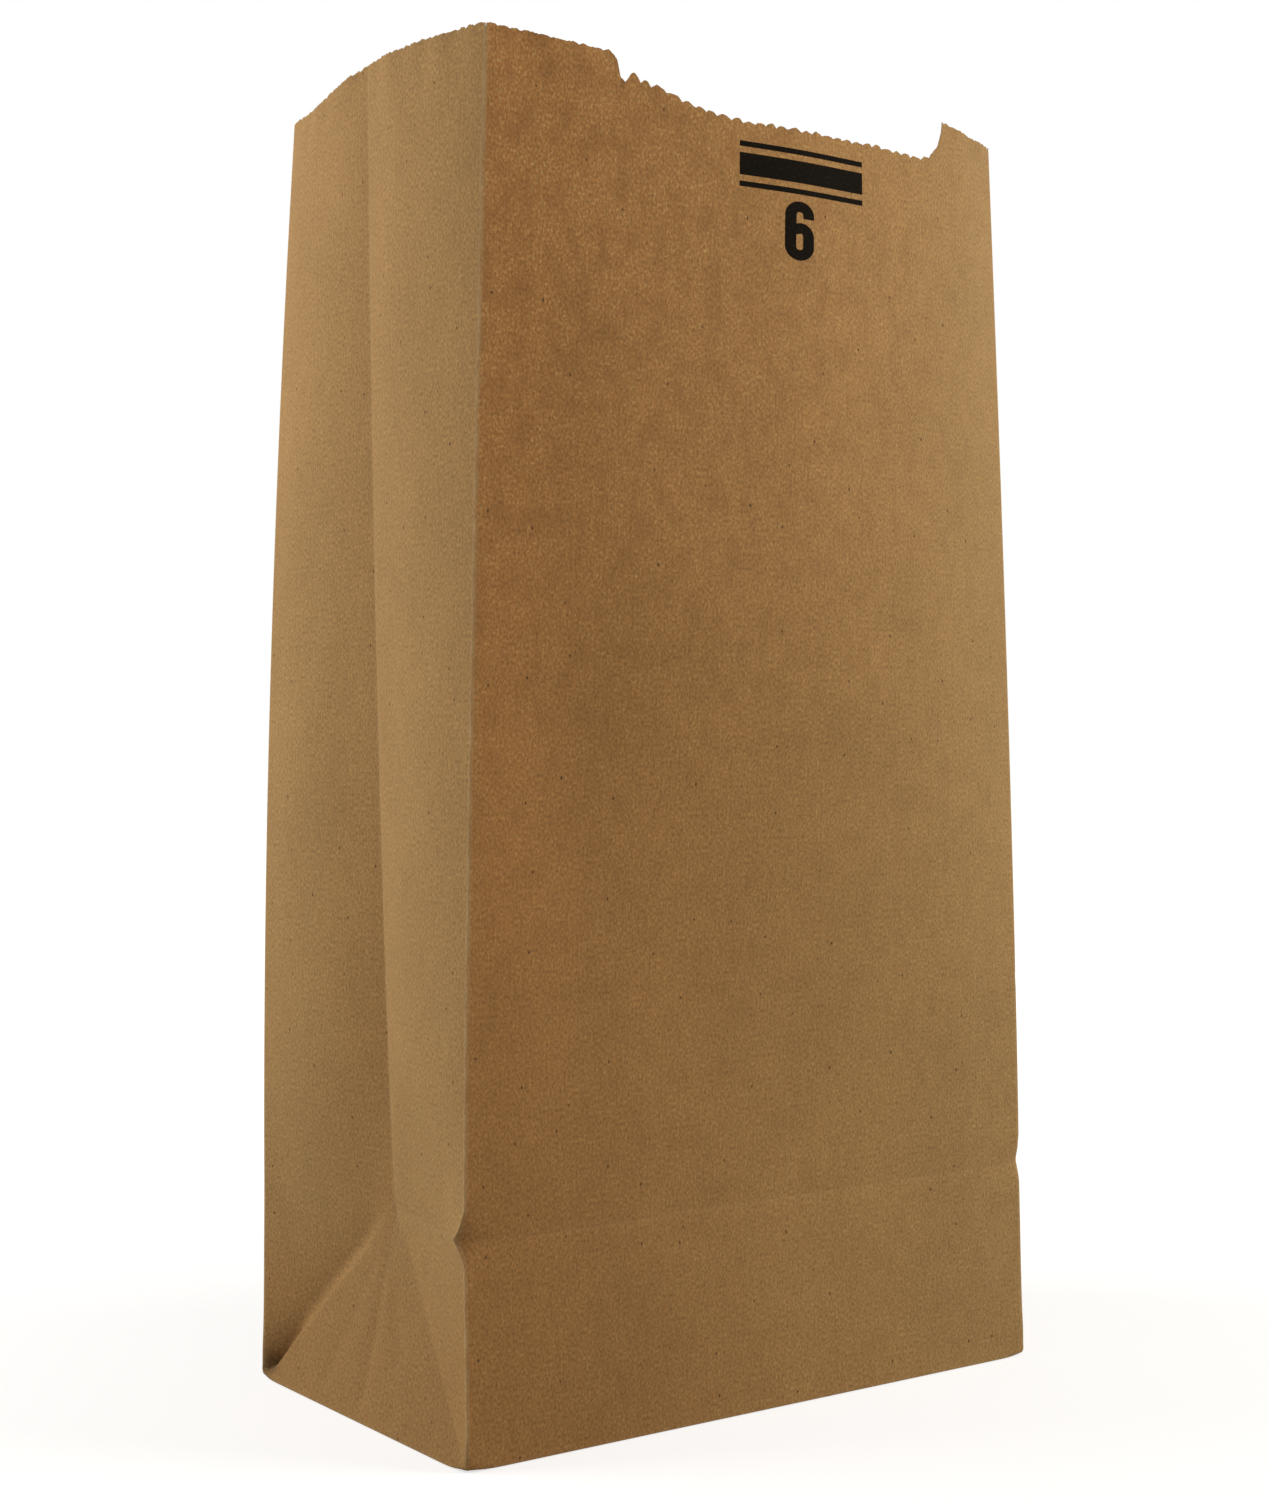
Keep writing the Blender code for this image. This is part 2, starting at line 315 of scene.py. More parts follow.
    def dent(self, corner: Corner, distance: Floats, height: Floats, across: float) -> Floats:
        """Moves of the paper beside a corner, where the fold's crease crosses it.

        The depth falls off as a tent up and down the corner, and as an exponential away from it.

        Args:
            corner: Which corner.
            distance: Distances from the corner.
            height: Heights up the paper.
            across: Reach away from the corner.

        Returns:
            One move for each point.
        """
        from_tip = height - self.fold - self.dent_rise
        above, below = from_tip / self.dent_up, -from_tip / self.dent_down
        depth = np.clip(1 - np.maximum(above, below), 0.0, 1.0) * np.exp(-distance / across)
        move = np.array([corner.x_side * corner.dent[0], -corner.y_side * corner.dent[1], 0.0])
        return depth[:, None] * move

    def panel(self, face: Face, distance: Floats, height: Floats) -> Floats:
        """Points of the front or back panel.

        A point lies on the line between the two corners, moved outwards by the panel's bow.

        Args:
            face: Which panel.
            distance: Distances from its west corner.
            height: Heights up the paper.

        Returns:
            One point for each pair.
        """
        west, east = self.corners_of(face)
        bow, skew = (self.front_bow, self.front_bow_skew) if face is Face.FRONT else (self.back_bow, 0.0)
        share = distance / self.width
        start, end = self.corner_line(west, height), self.corner_line(east, height)
        bulge = bow * bow_at(share, skew) * smooth((height - self.fold) / self.bow_rise)
        point = start + (end - start) * share[:, None] + outwards(start, end) * bulge[:, None]
        point += self.dent(west, distance, height, self.dent_across_panel)
        return point + self.dent(east, self.width - distance, height, self.dent_across_panel)

    def half_gusset(self, corner: Corner, other: Corner, distance: Floats, height: Floats) -> Floats:
        """Points of half a gusset.

        Under the fold they lie on two flat faces, which meet in the diagonal from the bottom's corner to
        the apex. Above it a point lies on the line from the corner to the crease, with a slight bow.

        Args:
            corner: The corner beside this half.
            other: The gusset's other corner.
            distance: Distances from the corner.
            height: Heights up the paper.

        Returns:
            One point for each pair.
        """
        front, back = (corner, other) if corner.y_side < 0 else (other, corner)
        share = (distance / self.fold)[:, None]
        rise = (height / self.fold)[:, None]
        foot = np.array([corner.x_side * self.width / 2, corner.y_side * self.depth / 2, 0.0])
        middle = foot * [1, 0, 0]
        apex = middle - [corner.x_side * self.tuck_at_fold, 0, -self.apex_height]
        knee = self.corner_line(corner, np.array([self.fold]))[0]
        facet = foot + (knee - foot) * rise + (apex - knee) * share
        triangle = foot + (middle - foot) * share + (apex - middle) * rise
        edge = self.corner_line(corner, height)
        crease = self.gusset_crease(front, back, height)
        bulge = self.gusset_bow * bow_at(distance / self.fold, 0.0)
        bulge *= smooth((height - self.fold) / self.gusset_bow_rise)
        upper = edge + (crease - edge) * share
        upper[:, 0] += corner.x_side * bulge
        lower = np.where(distance[:, None] <= height[:, None], facet, triangle)
        point = np.where(height[:, None] < self.fold, lower, upper)
        return point + self.dent(corner, distance, height, self.dent_across_gusset)

    def flap(self, face: Face, distance: Floats, reach: Floats) -> Floats:
        """Points of a flap of the bottom.

        A panel's flap narrows at 45 degrees on both sides, and a gusset's keeps its width. From the
        bottom's edge it rises to its own layer.

        Args:
            face: The face that the flap hangs on.
            distance: Distances from the face's west corner.
            reach: Distances from the folded edge.

        Returns:
            One point for each pair, on the flap's inner side.
        """
        west, _ = self.corners_of(face)
        x = west.x_side * (self.width / 2 - reach)
        if face.is_panel:
            x *= 1 - 2 * distance / self.width
            y = west.y_side * (self.depth / 2 - reach)
        else:
            inset = 1 - self.side_flap_inset / self.fold * smooth(reach / self.foot_radius)
            y = west.y_side * (self.depth / 2) * (1 - 2 * distance / self.depth) * inset
        level = self.lowest_level + FLAP_LEVELS[face] * smooth(reach / self.foot_step)
        return np.stack([x, y, level * self.layer], axis=1)

    def folded(self, around: Floats, height: Floats) -> Floats:
        """Folded places of points of the flat sheet, with sharp creases.

        Args:
            around: Distances round the bag.
            height: Heights up the paper, negative in the bottom's flaps.

        Returns:
            One point for each pair.
        """
        turn = np.mod(around, self.girth)
        point = np.zeros((len(turn), 3))
        for face, start, end in self.spans():
            here = (turn >= start) & (turn < end)
            distance, up = turn[here] - start, height[here]
            wall = np.clip(up, 0.0, None)
            if face.is_panel:
                upright = self.panel(face, distance, wall)
            else:
                west, east = self.corners_of(face)
                nearer = (distance < self.fold)[:, None]
                first = self.half_gusset(west, east, distance, wall)
                second = self.half_gusset(east, west, self.depth - distance, wall)
                upright = np.where(nearer, first, second)
            flat = self.flap(face, distance, np.clip(-up, 0.0, None))
            upright[:, 2] += flat[:, 2]
            point[here] = np.where(up[:, None] < 0, flat, upright)
        return point

    def place(self, around: Floats, height: Floats) -> Floats:
        """Folded places of points of the flat sheet, with rounded creases.

        Each is the weighted mean of the folded places of a square of points round it on the flat sheet,
        within the crease's radius, which grows towards the bottom's corners. Points of a flap stay on their
        own flap. The foot then spreads outwards, as an exponential of the height, and the bottom's middle
        rises by the product of two parabolas.

        Args:
            around: Distances round the bag.
            height: Heights up the paper.

        Returns:
            One point for each pair.
        """
        turn = np.mod(around, self.girth)
        corners = np.array(self.corner_places())
        from_corner = np.abs(turn[:, None] - corners).min(axis=1)
        nearness = bell(np.hypot(from_corner, height), self.foot_reach)
        radius = self.crease_radius + (self.foot_radius - self.crease_radius) * nearness
        own = np.clip(np.searchsorted(corners, turn, side="right"), 1, len(corners) - 1)
        low, high = corners[own - 1] + self.same_place, corners[own] - self.same_place
        total, weights = np.zeros((len(turn), 3)), 0.0
        for across, up in itertools.product(np.linspace(-1, 1, self.blur_points), repeat=2):
            weight = 1 - (across**2 + up**2) / self.blur_fall
            beside = turn + across * radius
            beside = np.where(height < 0, np.clip(beside, low, high), beside)
            total += weight * self.folded(beside, height + up * radius)
            weights += weight
        point = total / weights
        spread = np.exp(-np.clip(point[:, 2], 0.0, None) / self.flare_reach)[:, None]
        point *= 1 + spread * [2 * self.flare_x / self.width, 2 * self.flare_y / self.depth, 0.0]
        x, y = point[:, 0] / (self.width / 2), point[:, 1] / (self.depth / 2)
        lift = self.floor_lift * np.clip(1 - x * x, 0, 1) * np.clip(1 - y * y, 0, 1)
        point[:, 2] += lift * (height < 0)
        return point


@dataclass(frozen=True)
class MouthCut:
    """Upper edge of the sheet: a toothed knife's cut, with the thumb cut in the front panel."""

    start: float = 0.0316
    """Left end of the thumb cut, from the front left corner."""
    end: float = 0.1247
    depth: float = 0.0097
    first_step: float = 0.0046
    step_width: float = 0.0012
    slope: float = 0.030
    """Width over which the cut goes from its first step to its full depth."""
    upturn: float = 0.0105
    """Width of the quarter ellipse that ends the cut on the right."""
    ear_droop: float = 0.0004
    ear_round: float = 0.0016
    tooth_pitch: float = 0.00318
    cut_tooth: float = 0.00100
    edge_tooth: float = 0.00034
    tooth_widths: tuple[float, float] = (0.75, 1.25)
    """Least and greatest width of a tooth, before all are fitted to the girth."""
    tooth_heights: tuple[float, float] = (0.45, 1.0)
    tooth_shape: float = 0.8
    """Power of the sine that rounds a tooth."""
    nick: float = 0.00008
    """Root mean square depth of the torn fibres' small nicks."""
    nick_waves: int = 24
    shortest_nick: float = 0.0008
    longest_nick: float = 0.0030
    notch: float = 0.0010
    """Depth of the notch at the foot of the left ear, and the height of the tooth after it."""
    notch_width: float = 0.0011
    notch_place: float = 1.5
    """Place of the notch, in widths of it from the cut's left end."""
    bump_place: float = 4.0
    """Place of the tooth after it, in the same widths."""
    gusset_sag: float = 0.0024
    """Sag of the edge on the left gusset's back half."""
    gusset_sag_place: float = 0.0279
    """Distance of its deepest point from the gusset's crease."""
    gusset_sag_reach: float = 0.0165
    ear_sag: float = 0.0008
    """Sag of the edge at the front panel's right ear."""
    ear_sag_place: float = 0.140
    ear_sag_reach: float = 0.018
    seed: int = 6

    def thumb_depth(self, around: Floats) -> Floats:
        """Depth of the thumb cut, without its teeth.

        It drops by a step, with a notch and a tooth beside it, goes on down an even slope, and ends in a
        quarter ellipse. The left ear droops over its last two thirds, and ends in a quarter round.

        Args:
            around: Distances from the front left corner, on the front panel.

        Returns:
            Depths under the edge, 0 outside the cut.
        """
        from_start = around - self.start
        drop = self.first_step + (self.depth - self.first_step) * smooth(from_start / self.slope)
        drop *= smooth(from_start / self.step_width)
        drop += self.notch * bell(from_start - self.notch_place * self.notch_width, self.notch_width)
        drop -= self.notch * bell(from_start - self.bump_place * self.notch_width, self.notch_width)
        into_end = np.clip(1 - (self.end - around) / self.upturn, 0.0, 1.0)
        drop *= np.sqrt(1 - into_end**2)
        droop = self.ear_droop * ramp(around, self.start / 3, self.start)
        rounding = self.ear_round * np.clip(1 + from_start / self.ear_round, 0.0, 1.0) ** 2 / 2
        ear = (droop + rounding) * (around < self.start + self.step_width / 2)
        inside = (around > self.start) & (around < self.end)
        return np.where(inside, np.maximum(drop, ear), ear)

    def teeth(self, around: Floats, girth: float) -> Floats:
        """How far the toothed edge lies under the knife's line.

        Each tooth is a bump of its own height and width, half a wave of a sine to the power of its shape.
        The nicks are a sum of sines of random length and phase.

        Args:
            around: Distances round the bag.
            girth: Distance all round it.

        Returns:
            Depths under the line.
        """
        count = round(girth / self.tooth_pitch)
        random = np.random.default_rng(self.seed)
        widths = random.uniform(*self.tooth_widths, count)
        bounds = np.concatenate([[0.0], np.cumsum(widths / widths.sum() * girth)])
        heights = random.uniform(*self.tooth_heights, count)
        place = np.mod(around, girth)
        tooth = np.clip(np.searchsorted(bounds, place, side="right") - 1, 0, count - 1)
        phase = (place - bounds[tooth]) / (bounds[tooth + 1] - bounds[tooth])
        in_cut = (place > self.start) & (place < self.end - self.upturn / 2)
        size = np.where(in_cut, self.cut_tooth, self.edge_tooth)
        bump = size * (1 - heights[tooth] * np.sin(np.pi * phase) ** self.tooth_shape)
        lengths = random.uniform(self.shortest_nick, self.longest_nick, self.nick_waves)
        phases = random.uniform(0, 2 * math.pi, self.nick_waves)
        nicks = np.sin(2 * math.pi * place[:, None] / lengths + phases).sum(axis=1)
        return bump + self.nick * nicks / math.sqrt(self.nick_waves / 2)


@dataclass(frozen=True)
class PaperRelief:
    """Small forms of the paper, as heights out of the folded surface."""

    form: BagForm
    cockle: float = 0.00022
    """Root mean square height of the paper's gentle waves."""
    longest_wave: float = 0.120
    shortest_wave: float = 0.022
    waves: int = 36
    calm_by_crease: float = 0.014
    """Distance from the creases over which the waves grow."""
    calm_by_foot: float = 0.030
    """Height over which they grow."""
    fold_groove: float = 0.00020
    fold_groove_width: float = 0.0022
    imprint_left: float = 0.0938
    """Height of the line that the folded-up bottom's edge has pressed into the front, at its left end."""
    imprint_right: float = 0.0888
    imprint_depth: float = 0.00009
    imprint_width: float = 0.0016
    slide: float = 0.0042
    """How far the back left diagonal has slid forwards at its foot."""
    slide_start: float = 0.0036
    slide_reach: float = 0.0130
    slide_fade: float = 0.0110
    pocket_depth: float = 0.0064
    """Depth to which the back left facet is pinched in behind its diagonal, near the foot."""
    pocket_reach: float = 0.0085
    pocket_start: float = 0.0042
    tuck_behind: float = 0.0016
    """The same, along the rest of the diagonal."""
    tuck_width: float = 0.0055
    tuck_fade: float = 0.012
    """Distance from the gusset's crease over which that grows."""
    tuck_edge: float = 0.0018
    """Width of the step down from the diagonal's ridge."""
    tuck_edge_full: float = 0.008
    """Height at which the step has its width, and under which it is narrower."""
    tuck_edge_least: float = 0.35
    """Share of its width that it keeps at the foot."""
    pleat_depth: float = 0.00045
    pleat_width: float = 0.0020
    pleats: tuple[tuple[float, float], ...] = ((0.0, 1.0), (-0.42, 0.6), (0.36, 0.5))
    """Lean from upright of each soft pleat under the gusset's apex, and its share of the depth."""
    pleat_top: float = 0.012
    """Distance under the apex over which the pleats grow."""
    pleat_foot: float = 0.006
    """Height over which they grow."""
    ear_curl: float = 0.0013
    """Lean of the thumb cut's left ear into the bag."""
    ear_curl_start: float = 0.45
    """Share of the ear's width at which it starts to lean."""
    ear_curl_height: float = 0.010
    edge_wave: float = 0.00018
    edge_wave_lengths: tuple[float, float] = (0.020, 0.007)
    """Longest and shortest wave of the mouth's edge."""
    edge_wave_band: tuple[float, float] = (0.016, 0.004)
    """Distances under the mouth at which its waves start, and at which they are full."""
    edge_wave_calm: float = 0.006
    """Distance from the creases over which its waves grow."""
    lap_climb: float = 0.002
    """Width over which the lap climbs the sheet's other edge."""
    seam_lift: float = 0.00012
    """Rise of the lap's free edge."""
    seam_lift_width: float = 0.004
    seed: int = 11

    def waves_at(self, around: Floats, height: Floats, longest: float, shortest: float, seed: int) -> Floats:
        """Gentle waves of a sheet of paper.

        The sum of sines of random direction and phase, whole in number round the bag, and scaled to a root
        mean square of 1.

        Args:
            around: Distances round the bag.
            height: Heights up the paper.
            longest: Longest wave.
            shortest: Shortest wave.
            seed: Start of the random draws.

        Returns:
            Heights of the waves.
        """
        random = np.random.default_rng(seed)
        lengths = np.exp(random.uniform(math.log(shortest), math.log(longest), self.waves))
        angles = random.uniform(0, math.pi, self.waves)
        phases = random.uniform(0, 2 * math.pi, self.waves)
        turns = np.round(self.form.girth / lengths * np.cos(angles)) / self.form.girth
        climbs = np.sin(angles) / lengths
        sizes = lengths / lengths.max()
        waves = np.sin(2 * np.pi * (np.outer(around, turns) + np.outer(height, climbs)) + phases)
        return waves @ sizes / math.sqrt((sizes**2).sum() / 2)

    def from_creases(self, turn: Floats) -> Floats:
        """Distance from the nearest upright crease.

        Args:
            turn: Distances round the bag, under its girth.

        Returns:
            Distances across the paper.
        """
        form = self.form
        middles = [form.width + form.fold, form.girth - form.fold]
        return np.abs(turn[:, None] - np.array(form.corner_places() + middles)).min(axis=1)

    def pinch_at(self, around: Floats, height: Floats) -> Floats:
        """Moves of the back left facet into the bag, behind its diagonal crease.

        The depth falls off as an exponential upwards and away from the diagonal, and linearly to the
        corner. A step joins it to the ridge of the diagonal.

        Args:
            around: Distances round the bag.
            height: Heights up the paper.

        Returns:
            One move along X for each point, 0 on the corner and on the diagonal.
        """
        fold = self.form.fold
        from_back = np.mod(around, self.form.girth) - (self.form.girth - self.form.depth)
        behind = (from_back > 0) & (from_back < np.minimum(height, fold))
        from_diagonal = (height - from_back) / math.sqrt(2)
        across = np.clip(from_back / np.maximum(height, self.form.same_place), 0.0, 1.0)
        near_foot = np.exp(-height / self.pocket_reach) * smooth(height / self.pocket_start)
        near_diagonal = np.exp(-from_diagonal / self.tuck_width)
        near_diagonal *= ramp(from_back, fold, fold - self.tuck_fade)
        size = self.pocket_depth * near_foot + self.tuck_behind * near_diagonal
        edge = self.tuck_edge * np.clip(height / self.tuck_edge_full, self.tuck_edge_least, 1.0)
        return size * across * smooth(from_diagonal / edge) * behind

    def slid(self, around: Floats, height: Floats) -> Floats:
        """Distances round the bag after the foot of the back left diagonal has slid forwards.

        The slide is greatest on the diagonal, and falls off linearly to the corner on one side and as an
        exponential on the other. It ends over the last third before the gusset's crease.

        Args:
            around: Distances round the bag.
            height: Heights up the paper.

        Returns:
            The moved distances.
        """
        turn = np.mod(around, self.form.girth)
        from_back = turn - (self.form.girth - self.form.depth)
        up = np.clip(height, 0.0, None)
        size = self.slide * np.exp(-up / self.slide_reach) * smooth(up / self.slide_start)
        before = np.clip(from_back / np.maximum(up, self.form.same_place), 0.0, 1.0)
        after = np.exp(-np.clip(from_back - up, 0.0, None) / self.slide_fade)
        fade = ramp(from_back, self.form.fold, self.form.fold * 2 / 3)
        return around + size * before * after * fade * (from_back > 0)

    def ear_curl_at(self, turn: Floats, height: Floats, cut: MouthCut) -> Floats:
        """Lean of the thumb cut's left ear into the bag.

        It grows as a square across the ear, and as a square up it.

        Args:
            turn: Distances round the bag, under its girth.
            height: Heights up the paper.
            cut: The upper edge.

        Returns:
            Depths into the bag.
        """
        start = cut.start * self.ear_curl_start
        across = np.clip((turn - start) / (cut.start - start), 0.0, 1.0)
        across *= turn < cut.start + cut.step_width
        up = np.clip((height - self.form.height) / self.ear_curl_height + 1, 0.0, 1.0)
        return self.ear_curl * across**2 * up**2

    def lap_lift(self, around: Floats, height: Floats) -> Floats:
        """Rise of the sheet's second edge over its first one.

        It is one layer of paper over the whole lap, and a little more at the free edge on the walls.

        Args:
            around: Distances round the bag.
            height: Heights up the paper.

        Returns:
            Heights out of the bag.
        """
        onto = self.form.seam + self.form.girth
        last = onto + self.form.seam_lap
        climb = ramp(around, onto - self.lap_climb, onto)
        spring = ramp(around, last - self.seam_lift_width, last) * (height > 0)
        return self.form.layer * climb + self.seam_lift * spring

    def outwards(self, around: Floats, height: Floats, cut: MouthCut) -> Floats:
        """Height of the paper out of the folded surface.

        The sum of the waves, the grooves of old folds, the soft pleats under the gusset's apex, the lean of
        the left ear and the lap of the seam. A groove falls off as an exponential of the distance from its
        line, and a pleat as a bell.

        Args:
            around: Distances round the bag.
            height: Heights up the paper.
            cut: The upper edge.

        Returns:
            Heights, positive out of the bag.
        """
        form = self.form
        turn = np.mod(around, form.girth)
        from_crease = self.from_creases(turn)
        calm = smooth(from_crease / self.calm_by_crease) * smooth(height / self.calm_by_foot)
        waves = self.waves_at(turn, height, self.longest_wave, self.shortest_wave, self.seed)
        total = self.cockle * calm * waves
        near_edge = ramp(form.height - height, *self.edge_wave_band)
        near_edge *= smooth(from_crease / self.edge_wave_calm)
        waves = self.waves_at(turn, height, *self.edge_wave_lengths, self.seed + 1)
        total += self.edge_wave * near_edge * waves
        on_front = turn < form.width
        by_front = on_front | (turn > form.girth - form.fold) | (turn < form.width + form.fold)
        from_fold = np.abs(height - form.fold)
        total -= self.fold_groove * np.exp(-from_fold / self.fold_groove_width) * by_front
        imprint = self.imprint_left + (self.imprint_right - self.imprint_left) * turn / form.width
        total -= self.imprint_depth * np.exp(-np.abs(height - imprint) / self.imprint_width) * on_front
        on_left = turn > form.girth - form.depth
        from_middle = turn - (form.girth - form.fold)
        under = ramp(height, form.fold, form.fold - self.pleat_top) * smooth(height / self.pleat_foot)
        for lean, share in self.pleats:
            pleat = from_middle - lean * (form.fold - height)
            total -= self.pleat_depth * share * under * bell(pleat, self.pleat_width) * on_left
        total -= self.ear_curl_at(turn, height, cut)
        return (total * (height > 0)) + self.lap_lift(around, height)


@dataclass(frozen=True)
class SheetPoints:
    """Points on the flat sheet, as one row of numbers for each of their values."""

    around: Floats
    height: Floats

    def joined(self, other: "SheetPoints") -> "SheetPoints":
        """These points, and the others after them."""
        around = np.concatenate([self.around, other.around])
        return SheetPoints(around, np.concatenate([self.height, other.height]))


def grid_faces(ids: Indices, flipped: NDArray[np.bool_] | None = None) -> Indices:
    """Quads of a grid of points.

    Args:
        ids: Indices of the points, a row for each height from the lowest up, eastwards along the row.
        flipped: True for each quad whose diagonal falls to the east instead of rising.

    Returns:
        Four indices for each quad, anticlockwise as seen from outside, with its diagonal's foot first.
    """
    corners = [ids[:-1, :-1], ids[:-1, 1:], ids[1:, 1:], ids[1:, :-1]]
    quads = np.stack(corners, axis=-1)
    if flipped is not None:
        quads = np.where(flipped[..., None], np.roll(quads, -1, axis=-1), quads)
    return quads.reshape(-1, 4)


def fan_faces(coarse: Indices, fine: Indices, parts: int) -> Indices:
    """Triangles between a row of points and a row above it that has more of them.

    Args:
        coarse: Indices of the lower row.
        fine: Indices of the upper row, with the given number of steps to each step of the lower one.
        parts: Number of steps.

    Returns:
        Three indices for each triangle.
    """
    west, east = coarse[:-1], coarse[1:]
    upper = fine[:-1].reshape(-1, parts)
    after = fine[1:].reshape(-1, parts)
    half = parts // 2
    left = np.stack([np.repeat(west[:, None], half, 1), after[:, :half], upper[:, :half]], axis=-1)
    right = np.stack([np.repeat(east[:, None], parts - half, 1), after[:, half:], upper[:, half:]], axis=-1)
    middle = np.stack([west, east, upper[:, half]], axis=-1)
    return np.concatenate([left.reshape(-1, 3), right.reshape(-1, 3), middle])


def new_mesh(name: str, points: Floats, polygons: Sequence[Indices]) -> bpy.types.Mesh:
    """Mesh from arrays.

    Args:
        name: Name of the mesh.
        points: Three coordinates for each point.
        polygons: Arrays of faces, each with one number of corners.

    Returns:
        The mesh, shaded smooth.
    """
    mesh = bpy.data.meshes.new(name)
    mesh.vertices.add(len(points))
    mesh.vertices.foreach_set("co", points.astype(np.float32).ravel())
    loops = np.concatenate([faces.ravel() for faces in polygons])
    sizes = np.concatenate([np.full(len(faces), faces.shape[1]) for faces in polygons])
    mesh.loops.add(len(loops))
    mesh.loops.foreach_set("vertex_index", loops.astype(np.int32))
    mesh.polygons.add(len(sizes))
    mesh.polygons.foreach_set("loop_start", (np.cumsum(sizes) - sizes).astype(np.int32))
    mesh.update(calc_edges=True)
    mesh.shade_smooth()
    return mesh


def add_uv(mesh: bpy.types.Mesh, across: Floats, up: Floats) -> None:
    """Gives a mesh a UV map named sheet, in metres on the flat sheet.

    Args:
        mesh: The mesh.
        across: First value for each point.
        up: Second value for each point.
    """
    corner_point = np.empty(len(mesh.loops), np.int32)
    mesh.loops.foreach_get("vertex_index", corner_point)
    values = np.stack([across[corner_point], up[corner_point]], axis=1)
    layer = mesh.uv_layers.new(name="sheet")
    layer.data.foreach_set("uv", values.astype(np.float32).ravel())


def add_values(mesh: bpy.types.Mesh, name: str, values: Floats) -> None:
    """Gives a mesh an attribute with one number for each point.

    Args:
        mesh: The mesh.
        name: Name of the attribute.
        values: Its numbers.
    """
    mesh.attributes.new(name, "FLOAT", "POINT").data.foreach_set("value", values.astype(np.float32))


def paper_object(
    name: str, sheet: bpy.types.Mesh, uv: tuple[Floats, Floats], values: dict[str, Floats], thickness: float
) -> bpy.types.Object:
    """Object with a sheet's mesh, thickened outwards into a closed solid.

    The outer skin is the sheet moved along its normals by the thickness, the inner skin is the sheet
    turned inside out, and a strip of quads along each free edge joins them.

    Args:
        name: Name of the object.
        sheet: The sheet, an open surface that faces outwards. It is used up.
        uv: The two values of the UV map for each of its points.
        values: Other attributes, with a number for each point.
        thickness: Thickness of the paper or the ink.

    Returns:
        The object, at the origin, with no modifiers.
    """
    count = len(sheet.vertices)
    place, normal = np.empty(count * 3, np.float32), np.empty(count * 3, np.float32)
    sheet.vertices.foreach_get("co", place)
    sheet.vertex_normals.foreach_get("vector", normal)
    place, normal = place.reshape(-1, 3).astype(float), normal.reshape(-1, 3)
    loops, sizes = np.empty(len(sheet.loops), np.int64), np.empty(len(sheet.polygons), np.int64)
    sheet.loops.foreach_get("vertex_index", loops)
    sheet.polygons.foreach_get("loop_total", sizes)
    starts = np.cumsum(sizes) - sizes
    polygons: list[Indices] = []
    edges: list[Indices] = []
    for size in np.unique(sizes):
        faces = loops[starts[sizes == size][:, None] + np.arange(size)]
        edges.append(np.stack([faces, np.roll(faces, -1, axis=1)], axis=-1).reshape(-1, 2))
        polygons += [faces, faces[:, ::-1] + count]
    edge = np.concatenate(edges)
    free = edge[~np.isin(edge[:, 0] * count + edge[:, 1], edge[:, 1] * count + edge[:, 0])]
    polygons.append(np.stack([free[:, 1], free[:, 0], free[:, 0] + count, free[:, 1] + count], axis=1))
    bpy.data.meshes.remove(sheet)
    mesh = new_mesh(name, np.concatenate([place + normal * thickness, place]), polygons)
    add_uv(mesh, np.tile(uv[0], 2), np.tile(uv[1], 2))
    for label, numbers in values.items():
        add_values(mesh, label, np.tile(numbers, 2))
    mesh.set_sharp_from_angle(angle=SHARP_EDGE)
    piece = bpy.data.objects.new(name, mesh)
    bpy.context.scene.collection.objects.link(piece)
    return piece


@dataclass(frozen=True)
class PaintedShade:
    """Painted shade on the front panel, towards one side and one end of it."""

    amount: float
    side: tuple[float, float]
    """Shares of the width at which it starts, and at which it is full."""
    up: tuple[float, float]
    """The same for the height."""

    def at(self, side: Floats, up: Floats) -> Floats:
        """Its depth at shares of the panel's width and height, the product of two even steps."""
        return self.amount * ramp(side, *self.side) * ramp(up, *self.up)


